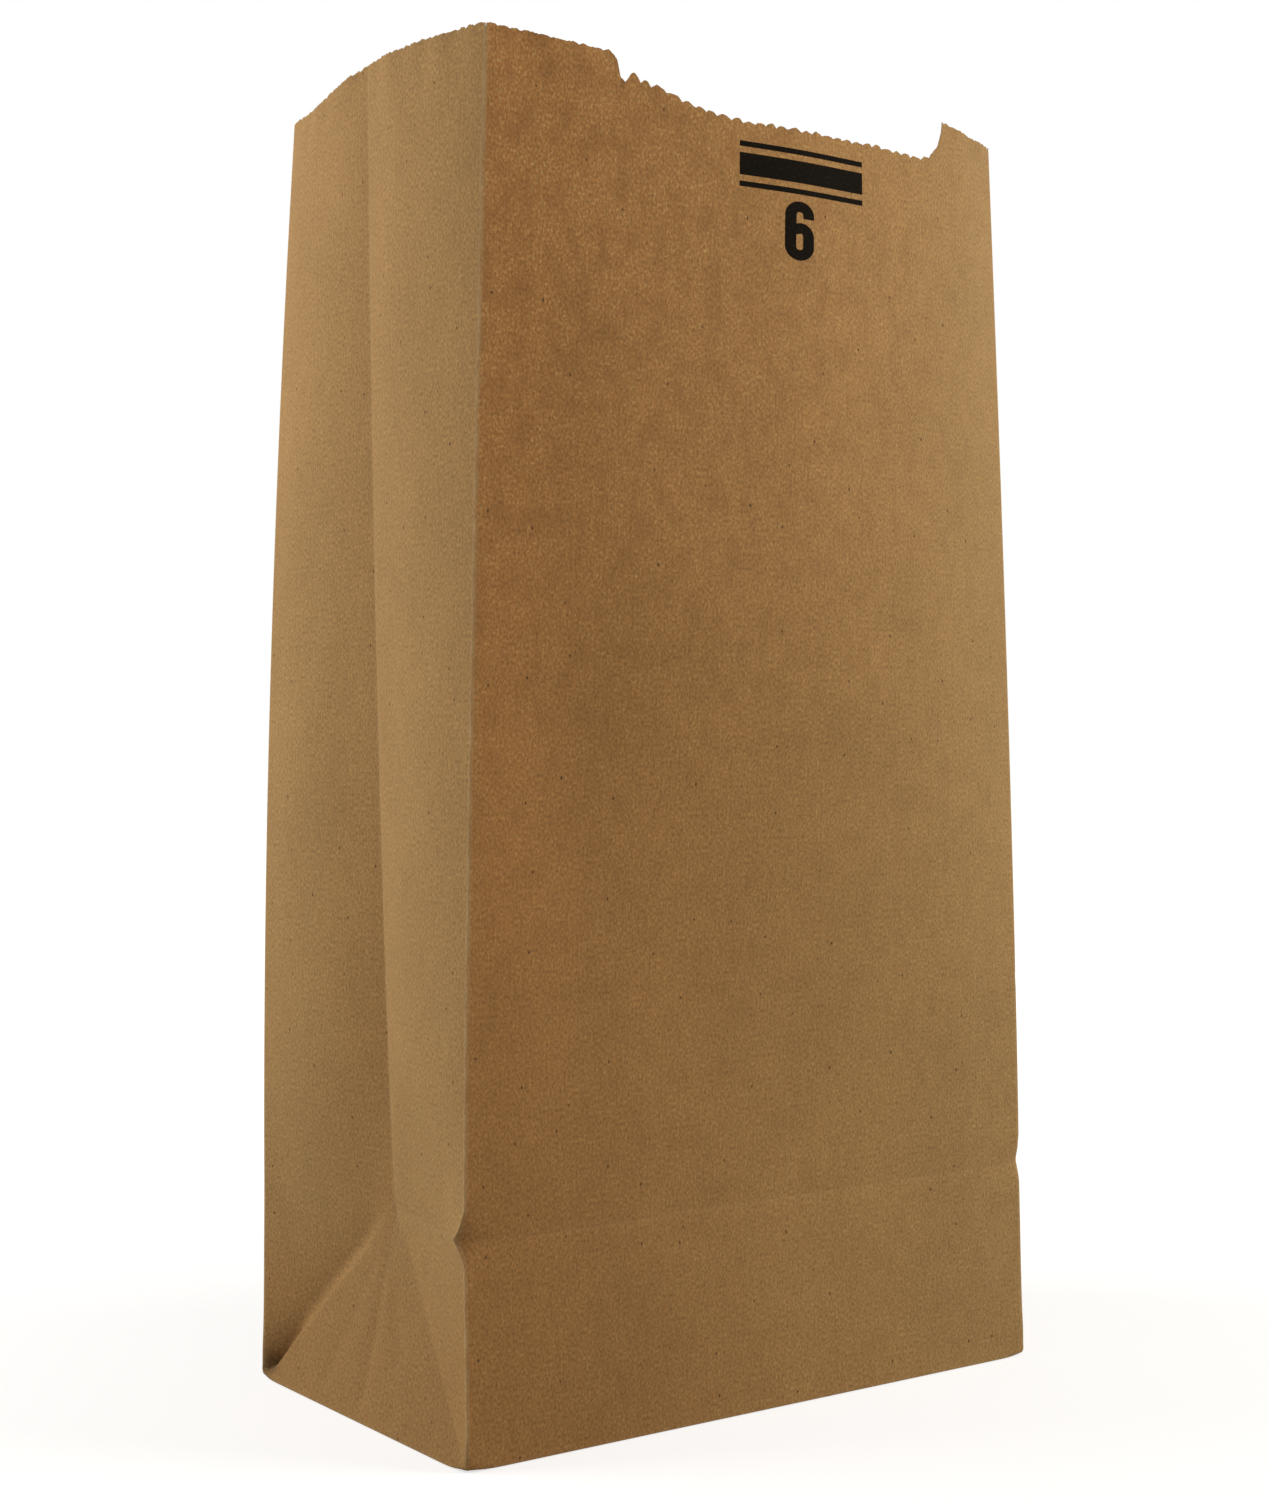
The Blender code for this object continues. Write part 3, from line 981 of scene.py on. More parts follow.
@dataclass(frozen=True)
class PaperTint:
    """Wear, clouding, warmth and painted light and shade of the paper, which the kraft finish reads at each
    point.
    """

    form: BagForm
    relief: PaperRelief
    wear_width: float = 0.00036
    worn_valley: float = 0.35
    """Wear of the gussets' creases, where a corner has 1."""
    worn_level: float = 0.10
    """Wear of the fold that runs round the bag."""
    worn_foot: float = 0.35
    worn_seam: float = 0.45
    least_mottle: float = 0.20
    front_mottle: float = 0.12
    """What the front panel has over the rest."""
    corner_mottle: float = 0.68
    """What its upper left corner has over that."""
    mottle_up: tuple[float, float] = (0.25, 0.95)
    """Shares of the height from which that grows, and at which it is full."""
    mottle_side: tuple[float, float] = (1.05, 0.05)
    """The same for the width."""
    warm_side: float = 1.05
    # Warmth of the front panel's left edge, a warmer tint painted for its shaded side, before it is kept to
    # 1. It falls by 1 to the right edge.
    """Warmth of the front panel's left edge, before it is kept to 1. It falls by 1 to the right edge."""
    least_warm: float = 0.12
    warm_foot: float = 0.72
    """Share of that warmth at the bottom."""
    warm_valley: float = 0.26
    # Warmer tint painted behind the left gusset's crease, where the paper lies in shade.
    """Warmth of the left gusset, behind its crease."""
    warm_fold: float = 0.35
    # Warmer tint painted under the fold, away from the front, where the paper lies in shade.
    """Warmth under the fold, away from the front."""
    warm_fold_band: tuple[float, float] = (1.3, 0.3)
    """Heights at which that starts and is full, as shares of the fold's height."""
    warm_rest: tuple[float, float] = (0.08, 0.20)
    """Warmth of all else, at the bottom and at the mouth."""
    painted_middle_light: float = 0.08
    # Painted light up the front panel's middle.
    """Light up the front panel's middle."""
    middle_reach: float = 0.33
    # Painted shades on the front panel: at its left foot, its right top and its left top.
    painted_shade_left_foot: PaintedShade = PaintedShade(0.13, (0.667, 0.250), (0.625, 0.0))
    painted_shade_right_top: PaintedShade = PaintedShade(0.09, (0.577, 0.962), (0.333, 0.667))
    painted_shade_left_top: PaintedShade = PaintedShade(0.07, (0.545, 0.091), (0.273, 0.727))
    below_fold_shade: float = 0.97
    # Painted shade: factor for the gussets below the fold and for the bottom's flaps.
    """Tone of what was pressed flat with the bottom."""
    triangle: float = 0.86
    # Painted shade: factor for the gussets' tucked triangles.
    """Tone of the gussets' tucked triangles."""
    pocket_shade: float = 0.42
    # Painted shade behind the back left diagonal, at the foot.
    """Grime behind the back left diagonal, at the foot."""
    pinch_shade: float = 0.50
    # Painted shade in the pinch at the foot's very corner.
    """Grime in the pinch at the foot's very corner."""
    pinch_place: tuple[float, float] = (0.0020, 0.0022)
    """Distance of its middle from the back left corner, and its height."""
    pinch_reach: float = 0.0026

    def values(self, turn: Floats, height: Floats) -> dict[str, Floats]:
        """Tints of points of the sheet.

        Args:
            turn: Distances round the bag, under its girth.
            height: Heights up the paper.

        Returns:
            The numbers of each attribute that the finish reads.
        """
        return {
            "wear": self.wear(turn, height),
            "mottle": self.mottle(turn, height),
            "warmth": self.warmth(turn, height),
            "painted_light_and_shade": self.painted_light_and_shade(turn, height),
        }

    def wear(self, turn: Floats, height: Floats) -> Floats:
        """How worn the paper is: most at the corners, less at the fold, the bottom's edge and the valleys.

        Args:
            turn: Distances round the bag, under its girth.
            height: Heights up the paper.

        Returns:
            Numbers from 0 to 1.
        """
        form = self.form
        corners = np.array(form.corner_places())
        across = np.mod(turn, form.width + form.depth) - form.width
        from_corner = np.minimum(across, form.depth - across)
        by_front = (turn < form.width + form.fold) | (turn > form.girth - form.fold)
        lines = [
            (1.0, np.abs(turn[:, None] - corners).min(axis=1), True),
            (self.worn_valley, from_corner - form.fold, height > form.fold),
            (self.worn_level, height - form.fold, by_front),
            (self.worn_foot, height, True),
            (self.worn_seam, turn - form.seam - form.seam_lap, height > 0),
        ]
        worn = [amount * bell(distance, self.wear_width) * here for amount, distance, here in lines]
        return np.clip(np.maximum.reduce(worn), 0.0, 1.0)

    def mottle(self, turn: Floats, height: Floats) -> Floats:
        """How strongly the paper's clouding shows: most at the top left of the front panel.

        Args:
            turn: Distances round the bag, under its girth.
            height: Heights up the paper.

        Returns:
            Numbers from 0 to 1.
        """
        form = self.form
        up = ramp(height / form.height, *self.mottle_up)
        left = ramp(turn / form.width, *self.mottle_side)
        on_front = turn < form.width
        return self.least_mottle + on_front * (self.front_mottle + self.corner_mottle * up * left)

    def warmth(self, turn: Floats, height: Floats) -> Floats:
        """How warm the paper's colour is: most at the left of the front panel, more at its top. There, behind
        the left gusset's crease and under the fold it is a warmer tint painted where the paper lies in shade;
        elsewhere it is the paper's own colour.

        Args:
            turn: Distances round the bag, under its girth.
            height: Heights up the paper.

        Returns:
            Numbers from 0 to 1.
        """
        form = self.form
        up = smooth(height / form.height)
        front = np.clip(self.warm_side - turn / form.width, self.least_warm, 1.0)
        front *= self.warm_foot + (1 - self.warm_foot) * up
        from_back = turn - (form.girth - form.depth)
        behind = (from_back < form.fold) & (from_back > 0)
        by_valley = self.warm_valley * smooth(from_back / form.fold) * behind
        under_fold = self.warm_fold * ramp(height / form.fold, *self.warm_fold_band)
        foot, mouth = self.warm_rest
        rest = foot + (mouth - foot) * up
        return np.where(turn < form.width, front, np.maximum.reduce([by_valley, under_fold, rest]))

    def painted_light_and_shade(self, turn: Floats, height: Floats) -> Floats:
        """Painted light and shade of the paper.

        The front panel has a painted light middle and three painted shades. A gusset has painted shade below
        the fold, more on its tucked triangle, and more again behind the back left diagonal and in the pinch
        at the back left foot. The bottom's flaps have the same painted shade as below the fold.

        Args:
            turn: Distances round the bag, under its girth.
            height: Heights up the paper.

        Returns:
            Factors of about 1.
        """
        form = self.form
        across = np.mod(turn, form.width + form.depth) - form.width
        from_corner = np.minimum(across, form.depth - across)
        side, up = turn / form.width, height / form.height
        # Painted light up the front panel's middle, less three painted shades.
        front = 1 + self.painted_middle_light * bell(side - 0.5, self.middle_reach) * smooth(up)
        for shade in (self.painted_shade_left_foot, self.painted_shade_right_top, self.painted_shade_left_top):
            front -= shade.at(side, up)
        # Painted shade below the fold, and more of it on the tucked triangles.
        gusset = np.where(height < form.fold, self.below_fold_shade, 1.0)
        gusset = np.where(from_corner > height, self.triangle, gusset)
        from_back = turn - (form.girth - form.depth)
        behind = (from_back > 0) & (from_back < height) & (height < form.fold)
        # Painted shade behind the back left diagonal near the foot, and in the pinch at its very corner.
        gusset -= self.pocket_shade * np.exp(-height / self.relief.pocket_reach) * behind
        from_pinch = np.hypot(from_back - self.pinch_place[0], height - self.pinch_place[1])
        gusset *= 1 - self.pinch_shade * bell(from_pinch, self.pinch_reach) * (from_back > 0)
        walls = np.where(turn < form.width, front, np.where(across > 0, gusset, 1.0))
        # The bottom's flaps get the same painted shade as the gussets below the fold.
        return np.where(height < 0, self.below_fold_shade, walls)


@dataclass
class BagSheet:
    """The bag's one sheet of paper, as a mesh."""

    form: BagForm
    cut: MouthCut
    relief: PaperRelief
    tint: PaperTint
    panel_step: float = 0.0024
    gusset_step: float = 0.0015
    foot_band: float = 0.0120
    """Width of the finer columns beside a gusset's corners, and height of the finer rows above the bottom."""
    row_step: float = 0.0034
    imprint_step: float = 0.0009
    flap_step: float = 0.0050
    by_crease: tuple[float, ...] = (0.0003, 0.0009)
    """Extra columns and rows, at these distances from each crease."""
    mouth_band: float = 0.0135
    """Height of the band under the upper edge whose rows follow the cut."""
    band_rows: tuple[float, ...] = (0.4, 0.75)
    """Rows of that band, as shares of its height."""
    under_teeth: float = 0.0017
    """Distance of the band's top under the knife's line."""
    teeth_parts: int = 6
    """Points along the cut for each column of the sheet."""
    digits: int = 6
    """Decimals to which the places of columns and rows are rounded, so that none comes twice."""
    name: str = "bag_sheet"

    def steps(self, start: float, end: float, longest: float, creased: tuple[bool, bool]) -> Floats:
        """Places from a start to an end.

        Args:
            start: First place.
            end: Last place.
            longest: Longest even step between them.
            creased: Whether there is a crease at the start and at the end, which gets extra places.

        Returns:
            The places in order, the first and the last one included.
        """
        extra = np.array(self.by_crease)
        count = max(math.ceil((end - start) / longest - self.form.same_place), 1)
        places = np.linspace(start, end, count + 1)
        if creased[0]:
            places = np.concatenate([places, start + extra])
        if creased[1]:
            places = np.concatenate([places, end - extra])
        return np.unique(np.round(places, self.digits + 1))

    def half_gusset_steps(self) -> Floats:
        """Places across half a gusset.

        Returns:
            The places, which are also the rows under the fold, so that a diagonal crease runs through
            corners of the grid.
        """
        fine = self.steps(0.0, self.foot_band, self.gusset_step / 2, (True, False))
        rest = self.steps(self.foot_band, self.form.fold, self.gusset_step, (False, True))
        return np.unique(np.concatenate([fine, rest]))

    def columns(self) -> Floats:
        """Columns of the sheet.

        Returns:
            Their distances round the bag, from the sheet's first edge to its last.
        """
        form, cut = self.form, self.cut
        half = self.half_gusset_steps()
        gusset = np.concatenate([half, form.depth - half[::-1][1:]])
        marks = [0.0, cut.start, cut.start + cut.step_width, cut.end - cut.upturn, cut.end, form.width]
        front = self.stretches(marks)
        lap_end = form.seam_from_corner + form.seam_lap
        back = self.stretches([0.0, form.seam_from_corner, lap_end, form.width])
        back = np.concatenate([back, form.seam_from_corner + np.array(self.by_crease)])
        by_face = {Face.FRONT: front, Face.RIGHT: gusset, Face.BACK: back, Face.LEFT: gusset}
        ring = np.concatenate([start + by_face[face] for face, start, _ in form.spans()])
        ring = np.concatenate([ring, ring + form.girth])
        last = form.seam + form.girth + form.seam_lap
        inside = (ring > form.seam - form.same_place) & (ring < last + form.same_place)
        return np.unique(np.round(ring[inside], self.digits))

    def stretches(self, marks: Sequence[float]) -> Floats:
        """Places across a panel.

        Args:
            marks: Places that have to be among them, from one corner crease to the other.

        Returns:
            The marks, with even steps between them and extra places beside the corners.
        """
        first, last = marks[0], marks[-1]
        parts = [self.steps(a, b, self.panel_step, (a == first, b == last)) for a, b in zip(marks, marks[1:])]
        return np.concatenate(parts)

    def rows(self) -> Floats:
        """Rows of the walls.

        Returns:
            Their heights, from the bottom's edge to the band under the mouth.
        """
        form, relief = self.form, self.relief
        low = relief.imprint_right - 2 * relief.imprint_width
        high = relief.imprint_left + 2 * relief.imprint_width
        parts = [self.half_gusset_steps()]
        parts.append(self.steps(form.fold, low, self.row_step, (True, False)))
        parts.append(self.steps(low, high, self.imprint_step, (False, False)))
        parts.append(self.steps(high, form.height - self.mouth_band, self.row_step, (False, False)))
        return np.unique(np.round(np.concatenate(parts), self.digits))

    def falling_diagonals(self, columns: Floats, rows: Floats) -> NDArray[np.bool_]:
        """Which way the diagonals of the walls' quads run.

        Args:
            columns: Distances round the bag.
            rows: Heights up the paper.

        Returns:
            True for each quad whose diagonal falls eastwards: those of each gusset's second half.
        """
        form = self.form
        middle = np.mod((columns[:-1] + columns[1:]) / 2, form.width + form.depth)
        second_half = middle > form.width + form.fold
        return np.repeat(second_half[None, :], len(rows) - 1, axis=0)

    def build(self) -> bpy.types.Object:
        """Makes the sheet.

        The walls are a grid of columns round the bag by rows up it. Above them a band of rows is stretched
        to follow the cut, and its last two rows have more points, for the teeth. Below them each face has
        its own grid for its flap, which starts from the walls' lowest row.

        Returns:
            The bag, a closed solid one layer of paper thick.
        """
        columns, rows = self.columns(), self.rows()
        points, wall_faces = self.walls(columns, rows)
        wall_ids = np.arange(len(rows) * len(columns)).reshape(len(rows), len(columns))
        points, mouth_faces = self.mouth(points, columns, wall_ids[-1], rows[-1])
        points, flap_faces = self.flaps(points, columns, wall_ids[0])
        place = self.form.place(self.relief.slid(points.around, points.height), points.height)
        mesh = new_mesh(self.name, place, [wall_faces, *mouth_faces, flap_faces])
        self.raise_relief(mesh, place, points)
        turn = np.mod(points.around, self.form.girth)
        values = self.tint.values(turn, points.height)
        return paper_object(self.name, mesh, (points.around, points.height), values, self.form.paper)

    def walls(self, columns: Floats, rows: Floats) -> tuple[SheetPoints, Indices]:
        """Grid of the walls, from the bottom's edge to the band under the mouth.

        Args:
            columns: Distances round the bag.
            rows: Heights up the paper.

        Returns:
            Its points and its faces.
        """
        around, height = np.meshgrid(columns, rows)
        ids = np.arange(around.size).reshape(around.shape)
        faces = grid_faces(ids, self.falling_diagonals(columns, rows))
        return SheetPoints(around.ravel(), height.ravel()), faces

    def mouth(
        self, points: SheetPoints, columns: Floats, foot: Indices, foot_height: float
    ) -> tuple[SheetPoints, list[Indices]]:
        """Band under the upper edge.

        Args:
            points: The points made so far.
            columns: Distances round the bag.
            foot: Indices of the row that the band starts from.
            foot_height: Height of that row.

        Returns:
            All points, and the band's faces.
        """
        steps = np.linspace(0, 1, self.teeth_parts + 1)[:-1]
        finer = (columns[:-1, None] + np.diff(columns)[:, None] * steps).ravel()
        finer = np.append(finer, columns[-1])
        faces: list[Indices] = []
        below = foot
        top = self.smooth_edge(columns) - self.under_teeth
        for share in self.band_rows:
            row = SheetPoints(columns, foot_height + (top - foot_height) * share)
            ids = len(points.around) + np.arange(len(columns))
            faces.append(grid_faces(np.stack([below, ids])))
            points, below = points.joined(row), ids
        line = self.smooth_edge(finer)
        teeth = self.cut.teeth(finer, self.form.girth)
        ids = len(points.around) + np.arange(len(finer))
        points = points.joined(SheetPoints(finer, line - self.under_teeth))
        faces.append(fan_faces(below, ids, self.teeth_parts))
        edge_ids = len(points.around) + np.arange(len(finer))
        points = points.joined(SheetPoints(finer, line - teeth))
        faces.append(grid_faces(np.stack([ids, edge_ids])))
        return points, faces

    def smooth_edge(self, around: Floats) -> Floats:
        """Knife's line, without its teeth.

        It lies at the bag's height, less the thumb cut and two sags in the form of bells.

        Args:
            around: Distances round the bag.

        Returns:
            Heights up the paper.
        """
        form, cut = self.form, self.cut
        turn = np.mod(around, form.girth)
        on_front = turn < form.width
        before_crease = form.girth - form.fold - turn
        sag = cut.gusset_sag * bell(before_crease - cut.gusset_sag_place, cut.gusset_sag_reach)
        sag *= before_crease > 0
        sag += cut.ear_sag * bell(turn - cut.ear_sag_place, cut.ear_sag_reach)
        return form.height - cut.thumb_depth(turn) * on_front - sag

    def flaps(self, points: SheetPoints, columns: Floats, edge: Indices) -> tuple[SheetPoints, Indices]:
        """Flaps of the bottom, each hung on the walls' lowest row between two corners.

        Args:
            points: The points made so far.
            columns: Distances round the bag.
            edge: Indices of the lowest row.

        Returns:
            All points, and the flaps' faces.
        """
        form = self.form
        corners = np.array(form.corner_places())
        corners = np.concatenate([corners, corners + form.girth])
        at_corner = np.flatnonzero(np.abs(columns[:, None] - corners).min(axis=1) < form.same_place)
        bounds = [0, *at_corner.tolist(), len(columns) - 1]
        reaches = self.steps(0.0, form.flap_reach, self.flap_step, (True, False))[1:]
        faces = []
        for first, last in zip(bounds, bounds[1:]):
            # A corner belongs to both flaps beside it, so a flap's own columns are moved off it.
            own = columns[first : last + 1].copy()
            own[0] += form.same_place
            own[-1] -= form.same_place
            around, height = np.meshgrid(own, -reaches)
            ids = len(points.around) + np.arange(around.size).reshape(around.shape)
            faces.append(grid_faces(np.vstack([edge[first : last + 1], ids])[::-1]))
            points = points.joined(SheetPoints(around.ravel(), height.ravel()))
        return points, np.concatenate(faces)

    def raise_relief(self, mesh: bpy.types.Mesh, place: Floats, points: SheetPoints) -> None:
        """Moves the mesh's points out of the folded surface by the paper's relief.

        Args:
            mesh: The sheet's mesh.
            place: Its points.
            points: Their places on the flat sheet.
        """
        normals = np.empty(len(place) * 3, np.float32)
        mesh.vertex_normals.foreach_get("vector", normals)
        relief = self.relief.outwards(points.around, points.height, self.cut)
        moved = place + normals.reshape(-1, 3) * relief[:, None]
        moved[:, 0] += self.relief.pinch_at(points.around, points.height)
        mesh.vertices.foreach_set("co", moved.astype(np.float32).ravel())
        mesh.update()


@dataclass
class NodeGraph:
    """Node tree of a material, with short calls for the nodes that it is made of."""

    tree: bpy.types.NodeTree

    def add(self, kind: str, **settings: object) -> bpy.types.Node:
        """Adds a node.

        Args:
            kind: Blender's name of the node type.
            settings: Values of its properties.

        Returns:
            The node.
        """
        node = self.tree.nodes.new(kind)
        for name, value in settings.items():
            setattr(node, name, value)
        return node

    def put(self, socket: bpy.types.NodeSocket, value: object) -> None:
        """Links a socket to a node's output, or sets it.

        Args:
            socket: The input socket.
            value: An output socket, a number or a colour.
        """
        if isinstance(value, bpy.types.NodeSocket):
            self.tree.links.new(value, socket)
        else:
            socket.default_value = value

    def maths(self, operation: str, *values: object, clamp: bool = False) -> bpy.types.NodeSocket:
        """Result of a sum on numbers.

        Args:
            operation: Blender's name of it.
            values: Sockets or numbers.
            clamp: Whether the result is kept from 0 to 1.

        Returns:
            The output socket.
        """
        node = self.add("ShaderNodeMath", operation=operation, use_clamp=clamp)
        for socket, value in zip(node.inputs, values):
            self.put(socket, value)
        return node.outputs[0]

    def sheet(self) -> bpy.types.NodeSocket:
        """Coordinates on the flat sheet, in metres."""
        return self.add("ShaderNodeUVMap", uv_map="sheet").outputs["UV"]

    def attribute(self, name: str) -> bpy.types.NodeSocket:
        """Number that an attribute of the mesh has at the point."""
        return self.add("ShaderNodeAttribute", attribute_name=name).outputs["Fac"]

    def patches(self, vector: bpy.types.NodeSocket, size: Sequence[float]) -> bpy.types.NodeSocket:
        """Coordinates counted in patches.

        Args:
            vector: Coordinates in metres.
            size: Size of a patch along each axis, in metres.

        Returns:
            The output socket, the coordinates over the size.
        """
        node = self.add("ShaderNodeMapping", vector_type="POINT")
        self.put(node.inputs["Vector"], vector)
        node.inputs["Scale"].default_value = [1 / side for side in size]
        return node.outputs["Vector"]

    def noise(
        self, vector: bpy.types.NodeSocket, size: Sequence[float], detail: float, roughness: float = 0.55
    ) -> bpy.types.NodeSocket:
        """Perlin noise.

        Args:
            vector: Coordinates in metres.
            size: Size of a patch along each axis, in metres.
            detail: Number of finer octaves.
            roughness: Strength of each octave, as a share of the one before.

        Returns:
            Its factor, about 0.5 on average.
        """
        node = self.add("ShaderNodeTexNoise", noise_dimensions="3D")
        self.put(node.inputs["Vector"], self.patches(vector, size))
        node.inputs["Scale"].default_value = 1.0
        node.inputs["Detail"].default_value = detail
        node.inputs["Roughness"].default_value = roughness
        return node.outputs["Fac"]

    def mix(self, factor: object, first: object, second: object, blend: str = "MIX") -> bpy.types.NodeSocket:
        """Mix of two colours.

        A Mix node has its factor first, and its two colours in the seventh and eighth socket.

        Args:
            factor: Share of the second one.
            first: Colour or socket.
            second: Colour or socket.
            blend: Blender's name of the way they mix.

        Returns:
            The output socket.
        """
        node = self.add("ShaderNodeMix", data_type="RGBA", blend_type=blend, clamp_factor=True)
        self.put(node.inputs[0], factor)
        self.put(node.inputs[6], first)
        self.put(node.inputs[7], second)
        return node.outputs[2]

    def ramp(self, value: object, start: float, end: float) -> bpy.types.NodeSocket:
        """Even step.

        Args:
            value: Socket or number.
            start: Value at which the step is 0.
            end: Value at which it is 1, which may be the lower one.

        Returns:
            The output socket.
        """
        node = self.add("ShaderNodeMapRange", interpolation_type="SMOOTHSTEP", clamp=True)
        self.put(node.inputs[0], value)
        node.inputs[1].default_value = start
        node.inputs[2].default_value = end
        return node.outputs[0]


def new_material(name: str) -> tuple[bpy.types.Material, NodeGraph]:
    """Material with Blender's own first nodes, and the graph of them.

    Args:
        name: Name of the material.

    Returns:
        The material and its graph.
    """
    material = bpy.data.materials.new(name)
    material.use_nodes = True
    return material, NodeGraph(material.node_tree)


def with_alpha(colour: Colour) -> tuple[float, float, float, float]:
    """A colour as four numbers, opaque."""
    return (*colour, 1.0)


@dataclass(frozen=True)
class Speckle:
    """Sparse marks of one colour in the paper, at most one to each cell of a grid."""

    cell: tuple[float, float, float]
    radius: float
    """Size of a mark, in cells."""
    empty: float
    """Share of the cells without a mark."""
    strength: float
    colour: Colour


@dataclass(frozen=True)
class KraftFinish:
    """Unbleached kraft paper: matt, with fibre grain, clouds, golden flecks, specks, worn creases and painted
    light and shade.

    The sizes are those of a patch of the pattern across and up the flat sheet. A range holds the values
    of a noise at which its effect starts, and at which it is full.
    """

    name: str = "kraft_paper"
    base: Colour = (0.374, 0.228, 0.088)
    warm: Colour = (0.398, 0.179, 0.051)
    # Warmer paper colour, mostly a tint painted where the paper lies in shade, most at the front panel's
    # upper left; a little of it is the paper's own colour everywhere.
    """Paper where the glossier side of the pulp shows, most at the front panel's upper left."""
    dark_cloud: Colour = (0.250, 0.125, 0.043)
    gold_fleck: Colour = (0.560, 0.350, 0.130)
    worn: Colour = (0.540, 0.385, 0.195)
    roughness: float = 0.88
    specular: float = 0.22
    grain_size: tuple[float, float, float] = (0.00050, 0.00075, 1.0)
    streak_size: tuple[float, float, float] = (0.00070, 0.0080, 1.0)
    tone_size: tuple[float, float, float] = (0.024, 0.034, 1.0)
    cloud_size: tuple[float, float, float] = (0.0046, 0.0064, 1.0)
    cloud_range: tuple[float, float] = (0.62, 0.30)
    cloud_strength: float = 0.36
    fleck_size: tuple[float, float, float] = (0.00060, 0.00072, 1.0)
    fleck_range: tuple[float, float] = (0.44, 0.74)
    fleck_clouds: tuple[float, float] = (0.30, 0.62)
    """Values of the clouds' noise from which there are flecks, and at which there are most."""
    fleck_strength: float = 0.95
    grain_depth: float = 1.50
    streak_depth: float = 0.30
    tone_depth: float = 0.20
    speckles: tuple[Speckle, ...] = (
        Speckle((0.0100, 0.0140, 1.0), 0.030, 0.62, 0.85, (0.070, 0.032, 0.014)),
        Speckle((0.0034, 0.0052, 1.0), 0.060, 0.86, 0.22, (0.600, 0.460, 0.260)),
    )
    """Dark specks of bark, and pale fibres."""
    bend_size: tuple[float, float, float] = (0.0016, 0.0016, 1.0)
    """Noise that makes the marks uneven."""
    break_size: tuple[float, float, float] = (0.0015, 0.0060, 1.0)
    """Noise that breaks up the worn lines."""
    break_range: tuple[float, float] = (0.25, 0.75)
    worn_strength: tuple[float, float] = (0.28, 0.78)
    """Strength of a worn line where it is faintest, and where it is plainest."""
    bump_height: float = 0.000016
    cloud_bump: float = 0.5
    """Height of the clouds, where the grain has 1."""

    def build(self) -> bpy.types.Material:
        """Makes the material.

        Its bump is the noise of the grain, and half that of the clouds.

        Returns:
            The material.
        """
        material, graph = new_material(self.name)
        shader = material.node_tree.nodes["Principled BSDF"]
        sheet = graph.sheet()
        grain = graph.noise(sheet, self.grain_size, detail=3.0)
        cloud = graph.noise(sheet, self.cloud_size, detail=5.0)
        colour = self.clouded(graph, sheet, cloud)
        colour = self.grained(graph, sheet, grain, colour)
        colour = self.speckled(graph, sheet, colour)
        colour = self.worn_creases(graph, sheet, colour)
        graph.put(shader.inputs["Base Color"], colour)
        shader.inputs["Roughness"].default_value = self.roughness
        shader.inputs["Specular IOR Level"].default_value = self.specular
        bump = graph.add("ShaderNodeBump")
        bump.inputs["Strength"].default_value = 1.0
        bump.inputs["Distance"].default_value = self.bump_height
        graph.put(bump.inputs["Height"], graph.maths("MULTIPLY_ADD", cloud, self.cloud_bump, grain))
        graph.put(shader.inputs["Normal"], bump.outputs["Normal"])
        return material

    def clouded(
        self, graph: NodeGraph, sheet: bpy.types.NodeSocket, cloud: bpy.types.NodeSocket
    ) -> bpy.types.NodeSocket:
        """Colour of the paper's mass: a base colour, warmer in places with a painted tint of shade, with
        darker clouds and golden flecks.

        Args:
            graph: The material's nodes.
            sheet: Coordinates on the flat sheet.
            cloud: Noise of the clouds.

        Returns:
            The colour socket.
        """
        mottle = graph.attribute("mottle")
        # The warmth is in part a warmer tint painted where the paper lies in shade.
        colour = graph.mix(graph.attribute("warmth"), with_alpha(self.base), with_alpha(self.warm))
        dark = graph.maths("MULTIPLY", graph.ramp(cloud, *self.cloud_range), mottle)
        dark = graph.maths("MULTIPLY", dark, self.cloud_strength)
        colour = graph.mix(dark, colour, with_alpha(self.dark_cloud))
        fleck = graph.ramp(graph.noise(sheet, self.fleck_size, detail=4.0), *self.fleck_range)
        fleck = graph.maths("MULTIPLY", fleck, graph.ramp(cloud, *self.fleck_clouds))
        fleck = graph.maths("MULTIPLY", graph.maths("MULTIPLY", fleck, mottle), self.fleck_strength)
        return graph.mix(fleck, colour, with_alpha(self.gold_fleck))

    def grained(
        self,
        graph: NodeGraph,
        sheet: bpy.types.NodeSocket,
        grain: bpy.types.NodeSocket,
        colour: bpy.types.NodeSocket,
    ) -> bpy.types.NodeSocket:
        """Colour shaded by the fibre grain, the machine's upright streaks, the sheet's broad uneven lightness
        and painted light and shade.

        The colour is multiplied by the tint's painted light and shade, and by 1 + d (n - 1/2) for each noise
        n of depth d.

        Args:
            graph: The material's nodes.
            sheet: Coordinates on the flat sheet.
            grain: Noise of the fibre grain.
            colour: The colour to shade.

        Returns:
            The colour socket.
        """
        streak = graph.noise(sheet, self.streak_size, detail=2.0)
        broad = graph.noise(sheet, self.tone_size, detail=2.0)
        shade = graph.maths("MULTIPLY_ADD", grain, self.grain_depth, 1 - self.grain_depth / 2)
        # Painted light and shade, from the sheet's attribute.
        shade = graph.maths("MULTIPLY", shade, graph.attribute("painted_light_and_shade"))
        for noise, depth in ((streak, self.streak_depth), (broad, self.tone_depth)):
            shade = graph.maths("MULTIPLY", shade, graph.maths("MULTIPLY_ADD", noise, depth, 1 - depth / 2))
        return graph.mix(1.0, colour, shade, blend="MULTIPLY")

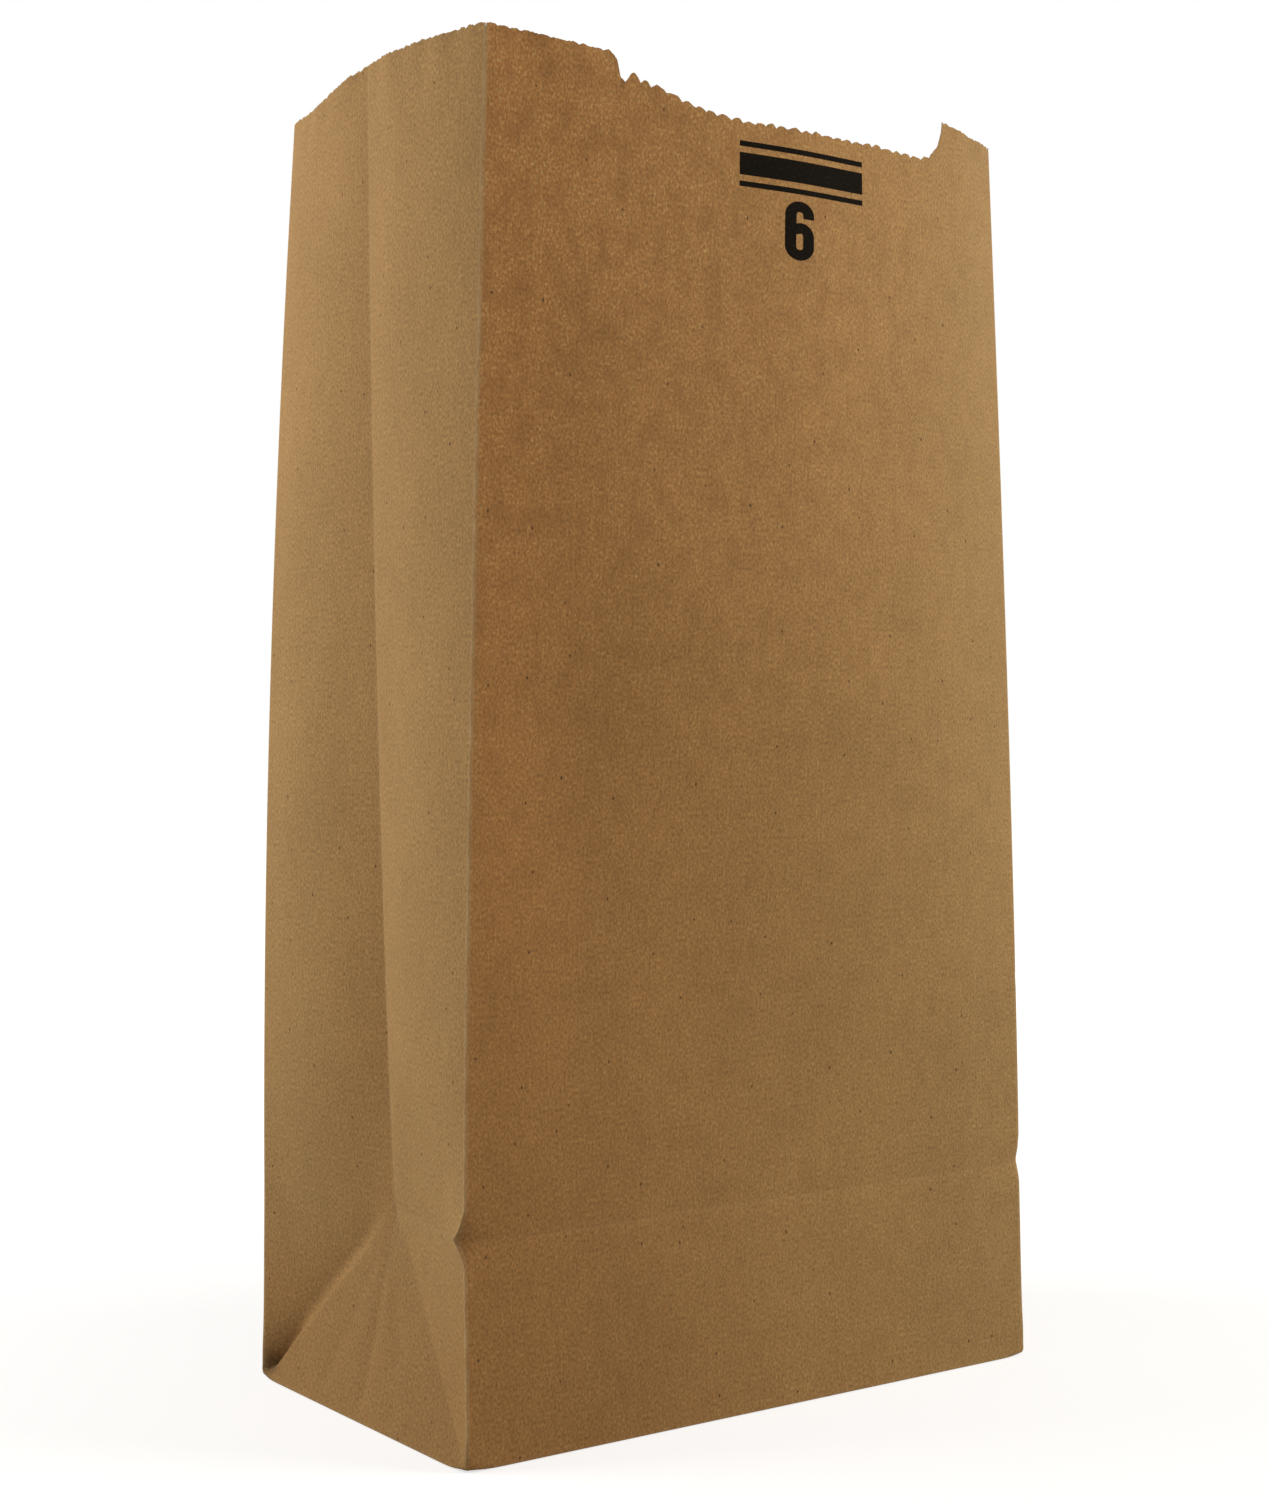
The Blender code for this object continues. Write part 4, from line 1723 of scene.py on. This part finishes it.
    def speckled(
        self, graph: NodeGraph, sheet: bpy.types.NodeSocket, colour: bpy.types.NodeSocket
    ) -> bpy.types.NodeSocket:
        """Colour with sparse dark specks and pale fibres.

        A mark fades out over the outer half of its radius. Its distance is multiplied by a noise of about
        1, which makes it uneven, and its cell's own random number says whether it is there.

        Args:
            graph: The material's nodes.
            sheet: Coordinates on the flat sheet.
            colour: The colour under them.

        Returns:
            The colour socket.
        """
        bend = graph.noise(sheet, self.bend_size, detail=1.0)
        for speckle in self.speckles:
            dots = graph.add("ShaderNodeTexVoronoi", voronoi_dimensions="2D", feature="F1")
            graph.put(dots.inputs["Vector"], graph.patches(sheet, speckle.cell))
            dots.inputs["Scale"].default_value = 1.0
            distance = graph.maths("MULTIPLY", dots.outputs["Distance"], graph.maths("ADD", bend, 0.5))
            near = graph.ramp(distance, speckle.radius, speckle.radius / 2)
            draw = graph.add("ShaderNodeSeparateColor")
            graph.put(draw.inputs[0], dots.outputs["Color"])
            chosen = graph.maths("GREATER_THAN", draw.outputs[0], speckle.empty)
            amount = graph.maths("MULTIPLY", graph.maths("MULTIPLY", near, chosen), speckle.strength)
            colour = graph.mix(amount, colour, with_alpha(speckle.colour))
        return colour

    def worn_creases(
        self, graph: NodeGraph, sheet: bpy.types.NodeSocket, colour: bpy.types.NodeSocket
    ) -> bpy.types.NodeSocket:
        """Colour with the paler, broken lines that wear leaves along the creases.

        Args:
            graph: The material's nodes.
            sheet: Coordinates on the flat sheet.
            colour: The colour of the unworn paper.

        Returns:
            The colour socket.
        """
        faintest, plainest = self.worn_strength
        broken = graph.ramp(graph.noise(sheet, self.break_size, detail=3.0), *self.break_range)
        strength = graph.maths("MULTIPLY_ADD", broken, plainest - faintest, faintest)
        amount = graph.maths("MULTIPLY", graph.attribute("wear"), strength)
        return graph.mix(amount, colour, with_alpha(self.worn))


@dataclass(frozen=True)
class InkFinish:
    """Black flexo ink on paper, with pinholes where the paper's fibres took none."""

    name: str = "black_ink"
    ink: Colour = (0.0065, 0.0045, 0.0025)
    bare: Colour = (0.040, 0.024, 0.011)
    roughness: float = 0.90
    specular: float = 0.06
    pinhole_size: tuple[float, float, float] = (0.00035, 0.0006, 1.0)
    pinhole_range: tuple[float, float] = (0.56, 0.74)
    """Values of the noise at which a pinhole starts, and at which it is bare."""

    def build(self) -> bpy.types.Material:
        """Makes the material.

        Returns:
            The material.
        """
        material, graph = new_material(self.name)
        shader = material.node_tree.nodes["Principled BSDF"]
        noise = graph.noise(graph.sheet(), self.pinhole_size, detail=3.0)
        holes = graph.ramp(noise, *self.pinhole_range)
        graph.put(shader.inputs["Base Color"], graph.mix(holes, with_alpha(self.ink), with_alpha(self.bare)))
        shader.inputs["Roughness"].default_value = self.roughness
        shader.inputs["Specular IOR Level"].default_value = self.specular
        return material


@dataclass
class PrintedMark:
    """Plain figure and two plain bars, printed on the front panel."""

    form: BagForm
    cut: MouthCut
    relief: PaperRelief
    film: float = 0.00002
    """Thickness of the ink."""
    clear: float = 0.00002
    """Height of its underside over the paper."""
    figure_centre: tuple[float, float] = (0.0777, 0.2531)
    figure_size: tuple[float, float] = (0.0079, 0.0124)
    pen: tuple[float, float] = (0.0030, 0.0022)
    """Width of the figure's upright and level strokes."""
    turn_height: float = 0.0019
    """Height of the half ellipses of its top and foot."""
    shoulder: float = 0.0006
    """Height of its bowl's top, from its centre."""
    shoulder_width: float = 0.85
    """Half width of that top, as a share of the figure's."""
    shoulder_turn: float = 100.0
    """Degrees through which it turns."""
    shoulder_end: float = 0.30
    """How far under the shoulder the stroke ends on the left side, in turn heights."""
    hook: float = 0.52
    """Height at which the stroke starts on the right, as a share of its top's."""
    turn_points: int = 24
    shoulder_points: int = 16
    stroke_points: tuple[int, int] = (150, 7)
    """Points along the stroke and across it."""
    bars_centre: tuple[float, float] = (0.0790, 0.2655)
    bar_length: float = 0.0340
    bar_heights: tuple[float, float, float] = (0.0011, 0.0046, 0.0011)
    bar_gap: float = 0.0013
    bar_points: tuple[int, int] = (60, 8)
    """Points along a bar and across it."""
    normal_step: float = 0.0008
    """Step on the sheet from which the paper's normal is worked out."""

    def on_panel(self, name: str, across: Floats, up: Floats) -> bpy.types.Object:
        """Ink film on the front panel.

        The film's points are the folded places of its points on the flat sheet, moved out along the
        paper's normal, which comes from the cross product of two short steps on the sheet.

        Args:
            name: Name of the piece.
            across: Grid of distances from the front left corner.
            up: Grid of heights, of the same shape.

        Returns:
            The piece, a thin closed solid.
        """
        around, height = across.ravel(), up.ravel()
        place = self.form.place(around, height)
        step = self.normal_step
        east = self.form.place(around + step, height) - self.form.place(around - step, height)
        north = self.form.place(around, height + step) - self.form.place(around, height - step)
        normal = np.cross(east, north)
        normal /= np.linalg.norm(normal, axis=1, keepdims=True)
        lift = self.relief.outwards(around, height, self.cut) + self.form.paper + self.clear
        ids = np.arange(around.size).reshape(across.shape)
        mesh = new_mesh(name, place + normal * lift[:, None], [grid_faces(ids)])
        return paper_object(name, mesh, (around, height), {}, self.film)

    def figure_spine(self) -> Floats:
        """Middle line of a plain figure six.

        Half ellipses joined by straight stretches: up from its end on the right, over the top, down the
        left side, round the foot, up the right side, and back over a shoulder to the left side.

        Returns:
            Points in the order of the pen, each as across and up from the figure's centre.
        """
        wide, tall = ((side - pen) / 2 for side, pen in zip(self.figure_size, self.pen))
        over = np.linspace(0, math.pi, self.turn_points)
        top = np.stack([wide * np.cos(over), tall + self.turn_height * (np.sin(over) - 1)], axis=1)
        foot = np.stack([-wide * np.cos(over), -tall + self.turn_height * (1 - np.sin(over))], axis=1)
        back = np.linspace(0, math.radians(self.shoulder_turn), self.shoulder_points)
        x = wide + wide * self.shoulder_width * (np.cos(back) - 1)
        y = self.shoulder + self.turn_height * (np.sin(back) - 1)
        rounded = np.stack([x, y], axis=1)
        start = [[wide, tall * self.hook]]
        end = [[-wide, self.shoulder - self.shoulder_end * self.turn_height]]
        return np.concatenate([start, top, foot, rounded, end])

    def figure(self) -> bpy.types.Object:
        """Makes the figure six.

        It is the stroke of a broad pen along its middle line: each point lies on the line, or square to it
        at a share of the pen's width.

        Returns:
            The piece.
        """
        spine = self.figure_spine()
        gaps = np.linalg.norm(np.diff(spine, axis=0), axis=1)
        length = np.concatenate([[0.0], np.cumsum(gaps)])
        even = np.linspace(0, length[-1], self.stroke_points[0])
        x, y = np.interp(even, length, spine[:, 0]), np.interp(even, length, spine[:, 1])
        along = np.stack([np.gradient(x), np.gradient(y)], axis=1)
        along /= np.linalg.norm(along, axis=1, keepdims=True)
        offset = np.linspace(-0.5, 0.5, self.stroke_points[1])[:, None]
        across = self.figure_centre[0] + x + offset * along[:, 1] * self.pen[0]
        up = self.figure_centre[1] + y - offset * along[:, 0] * self.pen[1]
        return self.on_panel("printed_figure", across[::-1], up[::-1])

    def bars(self) -> list[bpy.types.Object]:
        """Makes a thick bar between two thin ones, in the place above the figure.

        Returns:
            The pieces, from the top down.
        """
        pieces = []
        total = sum(self.bar_heights) + self.bar_gap * (len(self.bar_heights) - 1)
        top = self.bars_centre[1] + total / 2
        for name, tall in zip(("upper_rule", "middle_bar", "lower_rule"), self.bar_heights):
            x = np.linspace(-0.5, 0.5, self.bar_points[0]) * self.bar_length
            y = np.linspace(top - tall, top, self.bar_points[1])
            across, up = np.meshgrid(self.bars_centre[0] + x, y)
            pieces.append(self.on_panel(f"printed_{name}", across, up))
            top -= tall + self.bar_gap
        return pieces


@dataclass(frozen=True)
class Lamp:
    """Soft rectangular lamp that points at the bag."""

    name: str
    place: tuple[float, float, float]
    side: float
    watts: float
    colour: Colour

    def build(self, target: Sequence[float]) -> bpy.types.Object:
        """Makes the lamp.

        Args:
            target: Point that it faces.

        Returns:
            The lamp's object.
        """
        data = bpy.data.lights.new(self.name, "AREA")
        data.size = self.side
        data.energy = self.watts
        data.color = self.colour
        lamp = bpy.data.objects.new(self.name, data)
        lamp.location = self.place
        bpy.context.scene.collection.objects.link(lamp)
        away = Matrix.Translation(self.place).translation - Matrix.Translation(target).translation
        lamp.rotation_euler = away.to_track_quat("Z", "Y").to_euler()
        lamp.visible_camera = False
        return lamp


@dataclass
class Studio:
    """Pale floor, white surroundings, soft lamps and the camera."""

    floor_size: float = 6.0
    floor_colour: Colour = (0.42, 0.42, 0.42)
    floor_glow: float = 0.70
    """Light that the floor adds for the camera alone, so that it shows white where nothing shades it."""
    glow_near: float = 0.12
    """Distance from the bag's middle from which the glow grows to make up for the lamps' falling light."""
    glow_far: float = 0.75
    fill: Colour = (0.215, 0.195, 0.165)
    camera_place: tuple[float, float, float] = (-0.3222, -0.4521, 0.1481)
    camera_turn: float = -35.229
    """Degrees round from looking along +Y."""
    camera_height: float = 0.529
    """Degrees that it looks down."""
    camera_roll: float = -0.302
    clip_start: float = 0.01
    aim: tuple[float, float, float] = (0.0, 0.0, 0.14)
    """Point that the lamps face."""
    focal_pixels: float = 2393.0
    """Focal length in pixels of the photograph's long side."""
    long_side: int = 1500
    sensor: float = 36.0
    lamps: list[Lamp] = field(
        default_factory=lambda: [
            Lamp("left_lamp", (-0.52, 0.364, 0.436), 0.5, 3.9, (1.01, 1.0, 0.98)),
            Lamp("right_lamp", (0.643, -0.539, 0.586), 0.6, 7.45, (1.02, 1.0, 0.96)),
        ]
    )

    def build(self) -> None:
        """Makes the floor, the surroundings, the lamps and the camera."""
        self.floor()
        self.world()
        for lamp in self.lamps:
            lamp.build(self.aim)
        self.camera()
        bpy.context.scene.view_settings.view_transform = "Standard"

    def seen_directly(self, graph: NodeGraph) -> bpy.types.NodeSocket:
        """Which rays show the studio itself.

        Args:
            graph: The nodes of the floor or of the world.

        Returns:
            A socket with 1 for rays from the camera, and for those seen in gloss or through glass.
        """
        path = graph.add("ShaderNodeLightPath")
        seen = graph.maths("MAXIMUM", path.outputs["Is Camera Ray"], path.outputs["Is Glossy Ray"])
        return graph.maths("MAXIMUM", seen, path.outputs["Is Transmission Ray"])

    def floor(self) -> bpy.types.Object:
        """Makes a white floor that keeps the bag's shadow.

        Returns:
            The floor.
        """
        half = self.floor_size / 2
        corners = np.array([[-half, -half, 0.0], [half, -half, 0.0], [half, half, 0.0], [-half, half, 0.0]])
        mesh = new_mesh("floor", corners, [np.array([[0, 1, 2, 3]])])
        floor = bpy.data.objects.new("floor", mesh)
        bpy.context.scene.collection.objects.link(floor)
        mesh.materials.append(self.floor_material())
        return floor

    def floor_material(self) -> bpy.types.Material:
        """Makes the floor's material.

        It is a matt grey that adds light for the camera alone, more of it where the lamps' own light falls
        off with the distance.

        Returns:
            The material.
        """
        material, graph = new_material("white_floor")
        material.node_tree.nodes.remove(material.node_tree.nodes["Principled BSDF"])
        matt = graph.add("ShaderNodeBsdfDiffuse")
        matt.inputs["Color"].default_value = with_alpha(self.floor_colour)
        glow = graph.add("ShaderNodeEmission")
        place = graph.add("ShaderNodeTexCoord").outputs["Object"]
        distance = graph.add("ShaderNodeVectorMath", operation="LENGTH")
        graph.put(distance.inputs[0], place)
        far = graph.ramp(distance.outputs["Value"], self.glow_near, self.glow_far)
        level = graph.maths("MULTIPLY_ADD", far, 1.0 - self.floor_glow, self.floor_glow)
        graph.put(glow.inputs["Strength"], graph.maths("MULTIPLY", self.seen_directly(graph), level))
        both = graph.add("ShaderNodeAddShader")
        graph.put(both.inputs[0], matt.outputs[0])
        graph.put(both.inputs[1], glow.outputs[0])
        output = material.node_tree.nodes["Material Output"]
        graph.put(output.inputs["Surface"], both.outputs[0])
        return material

    def world(self) -> None:
        """Makes white surroundings for the camera, and a plain warm fill for everything else."""
        world = bpy.data.worlds.new("studio")
        world.use_nodes = True
        bpy.context.scene.world = world
        graph = NodeGraph(world.node_tree)
        background = world.node_tree.nodes["Background"]
        colour = graph.mix(self.seen_directly(graph), with_alpha(self.fill), (1.0, 1.0, 1.0, 1.0))
        graph.put(background.inputs["Color"], colour)
        background.inputs["Strength"].default_value = 1.0

    def camera(self) -> bpy.types.Object:
        """Makes the camera, at the photograph's viewpoint.

        Returns:
            The camera's object.
        """
        data = bpy.data.cameras.new("camera")
        data.sensor_width = self.sensor
        data.lens = self.focal_pixels / self.long_side * self.sensor
        data.clip_start = self.clip_start
        camera = bpy.data.objects.new("camera", data)
        bpy.context.scene.collection.objects.link(camera)
        turn = Matrix.Rotation(math.radians(self.camera_turn), 4, "Z")
        tilt = Matrix.Rotation(math.radians(90 - self.camera_height), 4, "X")
        roll = Matrix.Rotation(math.radians(self.camera_roll), 4, "Z")
        camera.matrix_world = Matrix.Translation(self.camera_place) @ turn @ tilt @ roll
        bpy.context.scene.camera = camera
        return camera


def finish_piece(piece: bpy.types.Object, material: bpy.types.Material) -> bpy.types.Object:
    """Dresses a piece, lets it ride on the bag's one body, and reports it.

    Args:
        piece: The piece, in its place.
        material: Its finish.

    Returns:
        The piece.
    """
    piece.data.materials.clear()
    piece.data.materials.append(material)
    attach(piece, "root")
    piece.data.calc_loop_triangles()
    log.info("%s: %d triangles, %s", piece.name, len(piece.data.loop_triangles), material.name)
    return piece


def main() -> None:
    """Builds the bag, its print and the studio, in that order."""
    logging.basicConfig(level=logging.INFO, format="%(message)s")
    form = BagForm()
    cut = MouthCut()
    relief = PaperRelief(form)
    tint = PaperTint(form, relief)
    bag = finish_piece(BagSheet(form, cut, relief, tint).build(), KraftFinish().build())
    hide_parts("paper_bag")
    mark = PrintedMark(form, cut, relief)
    ink = InkFinish().build()
    for piece in [mark.figure(), *mark.bars()]:
        finish_piece(piece, ink)
    Studio().build()


if __name__ == "__main__":
    main()
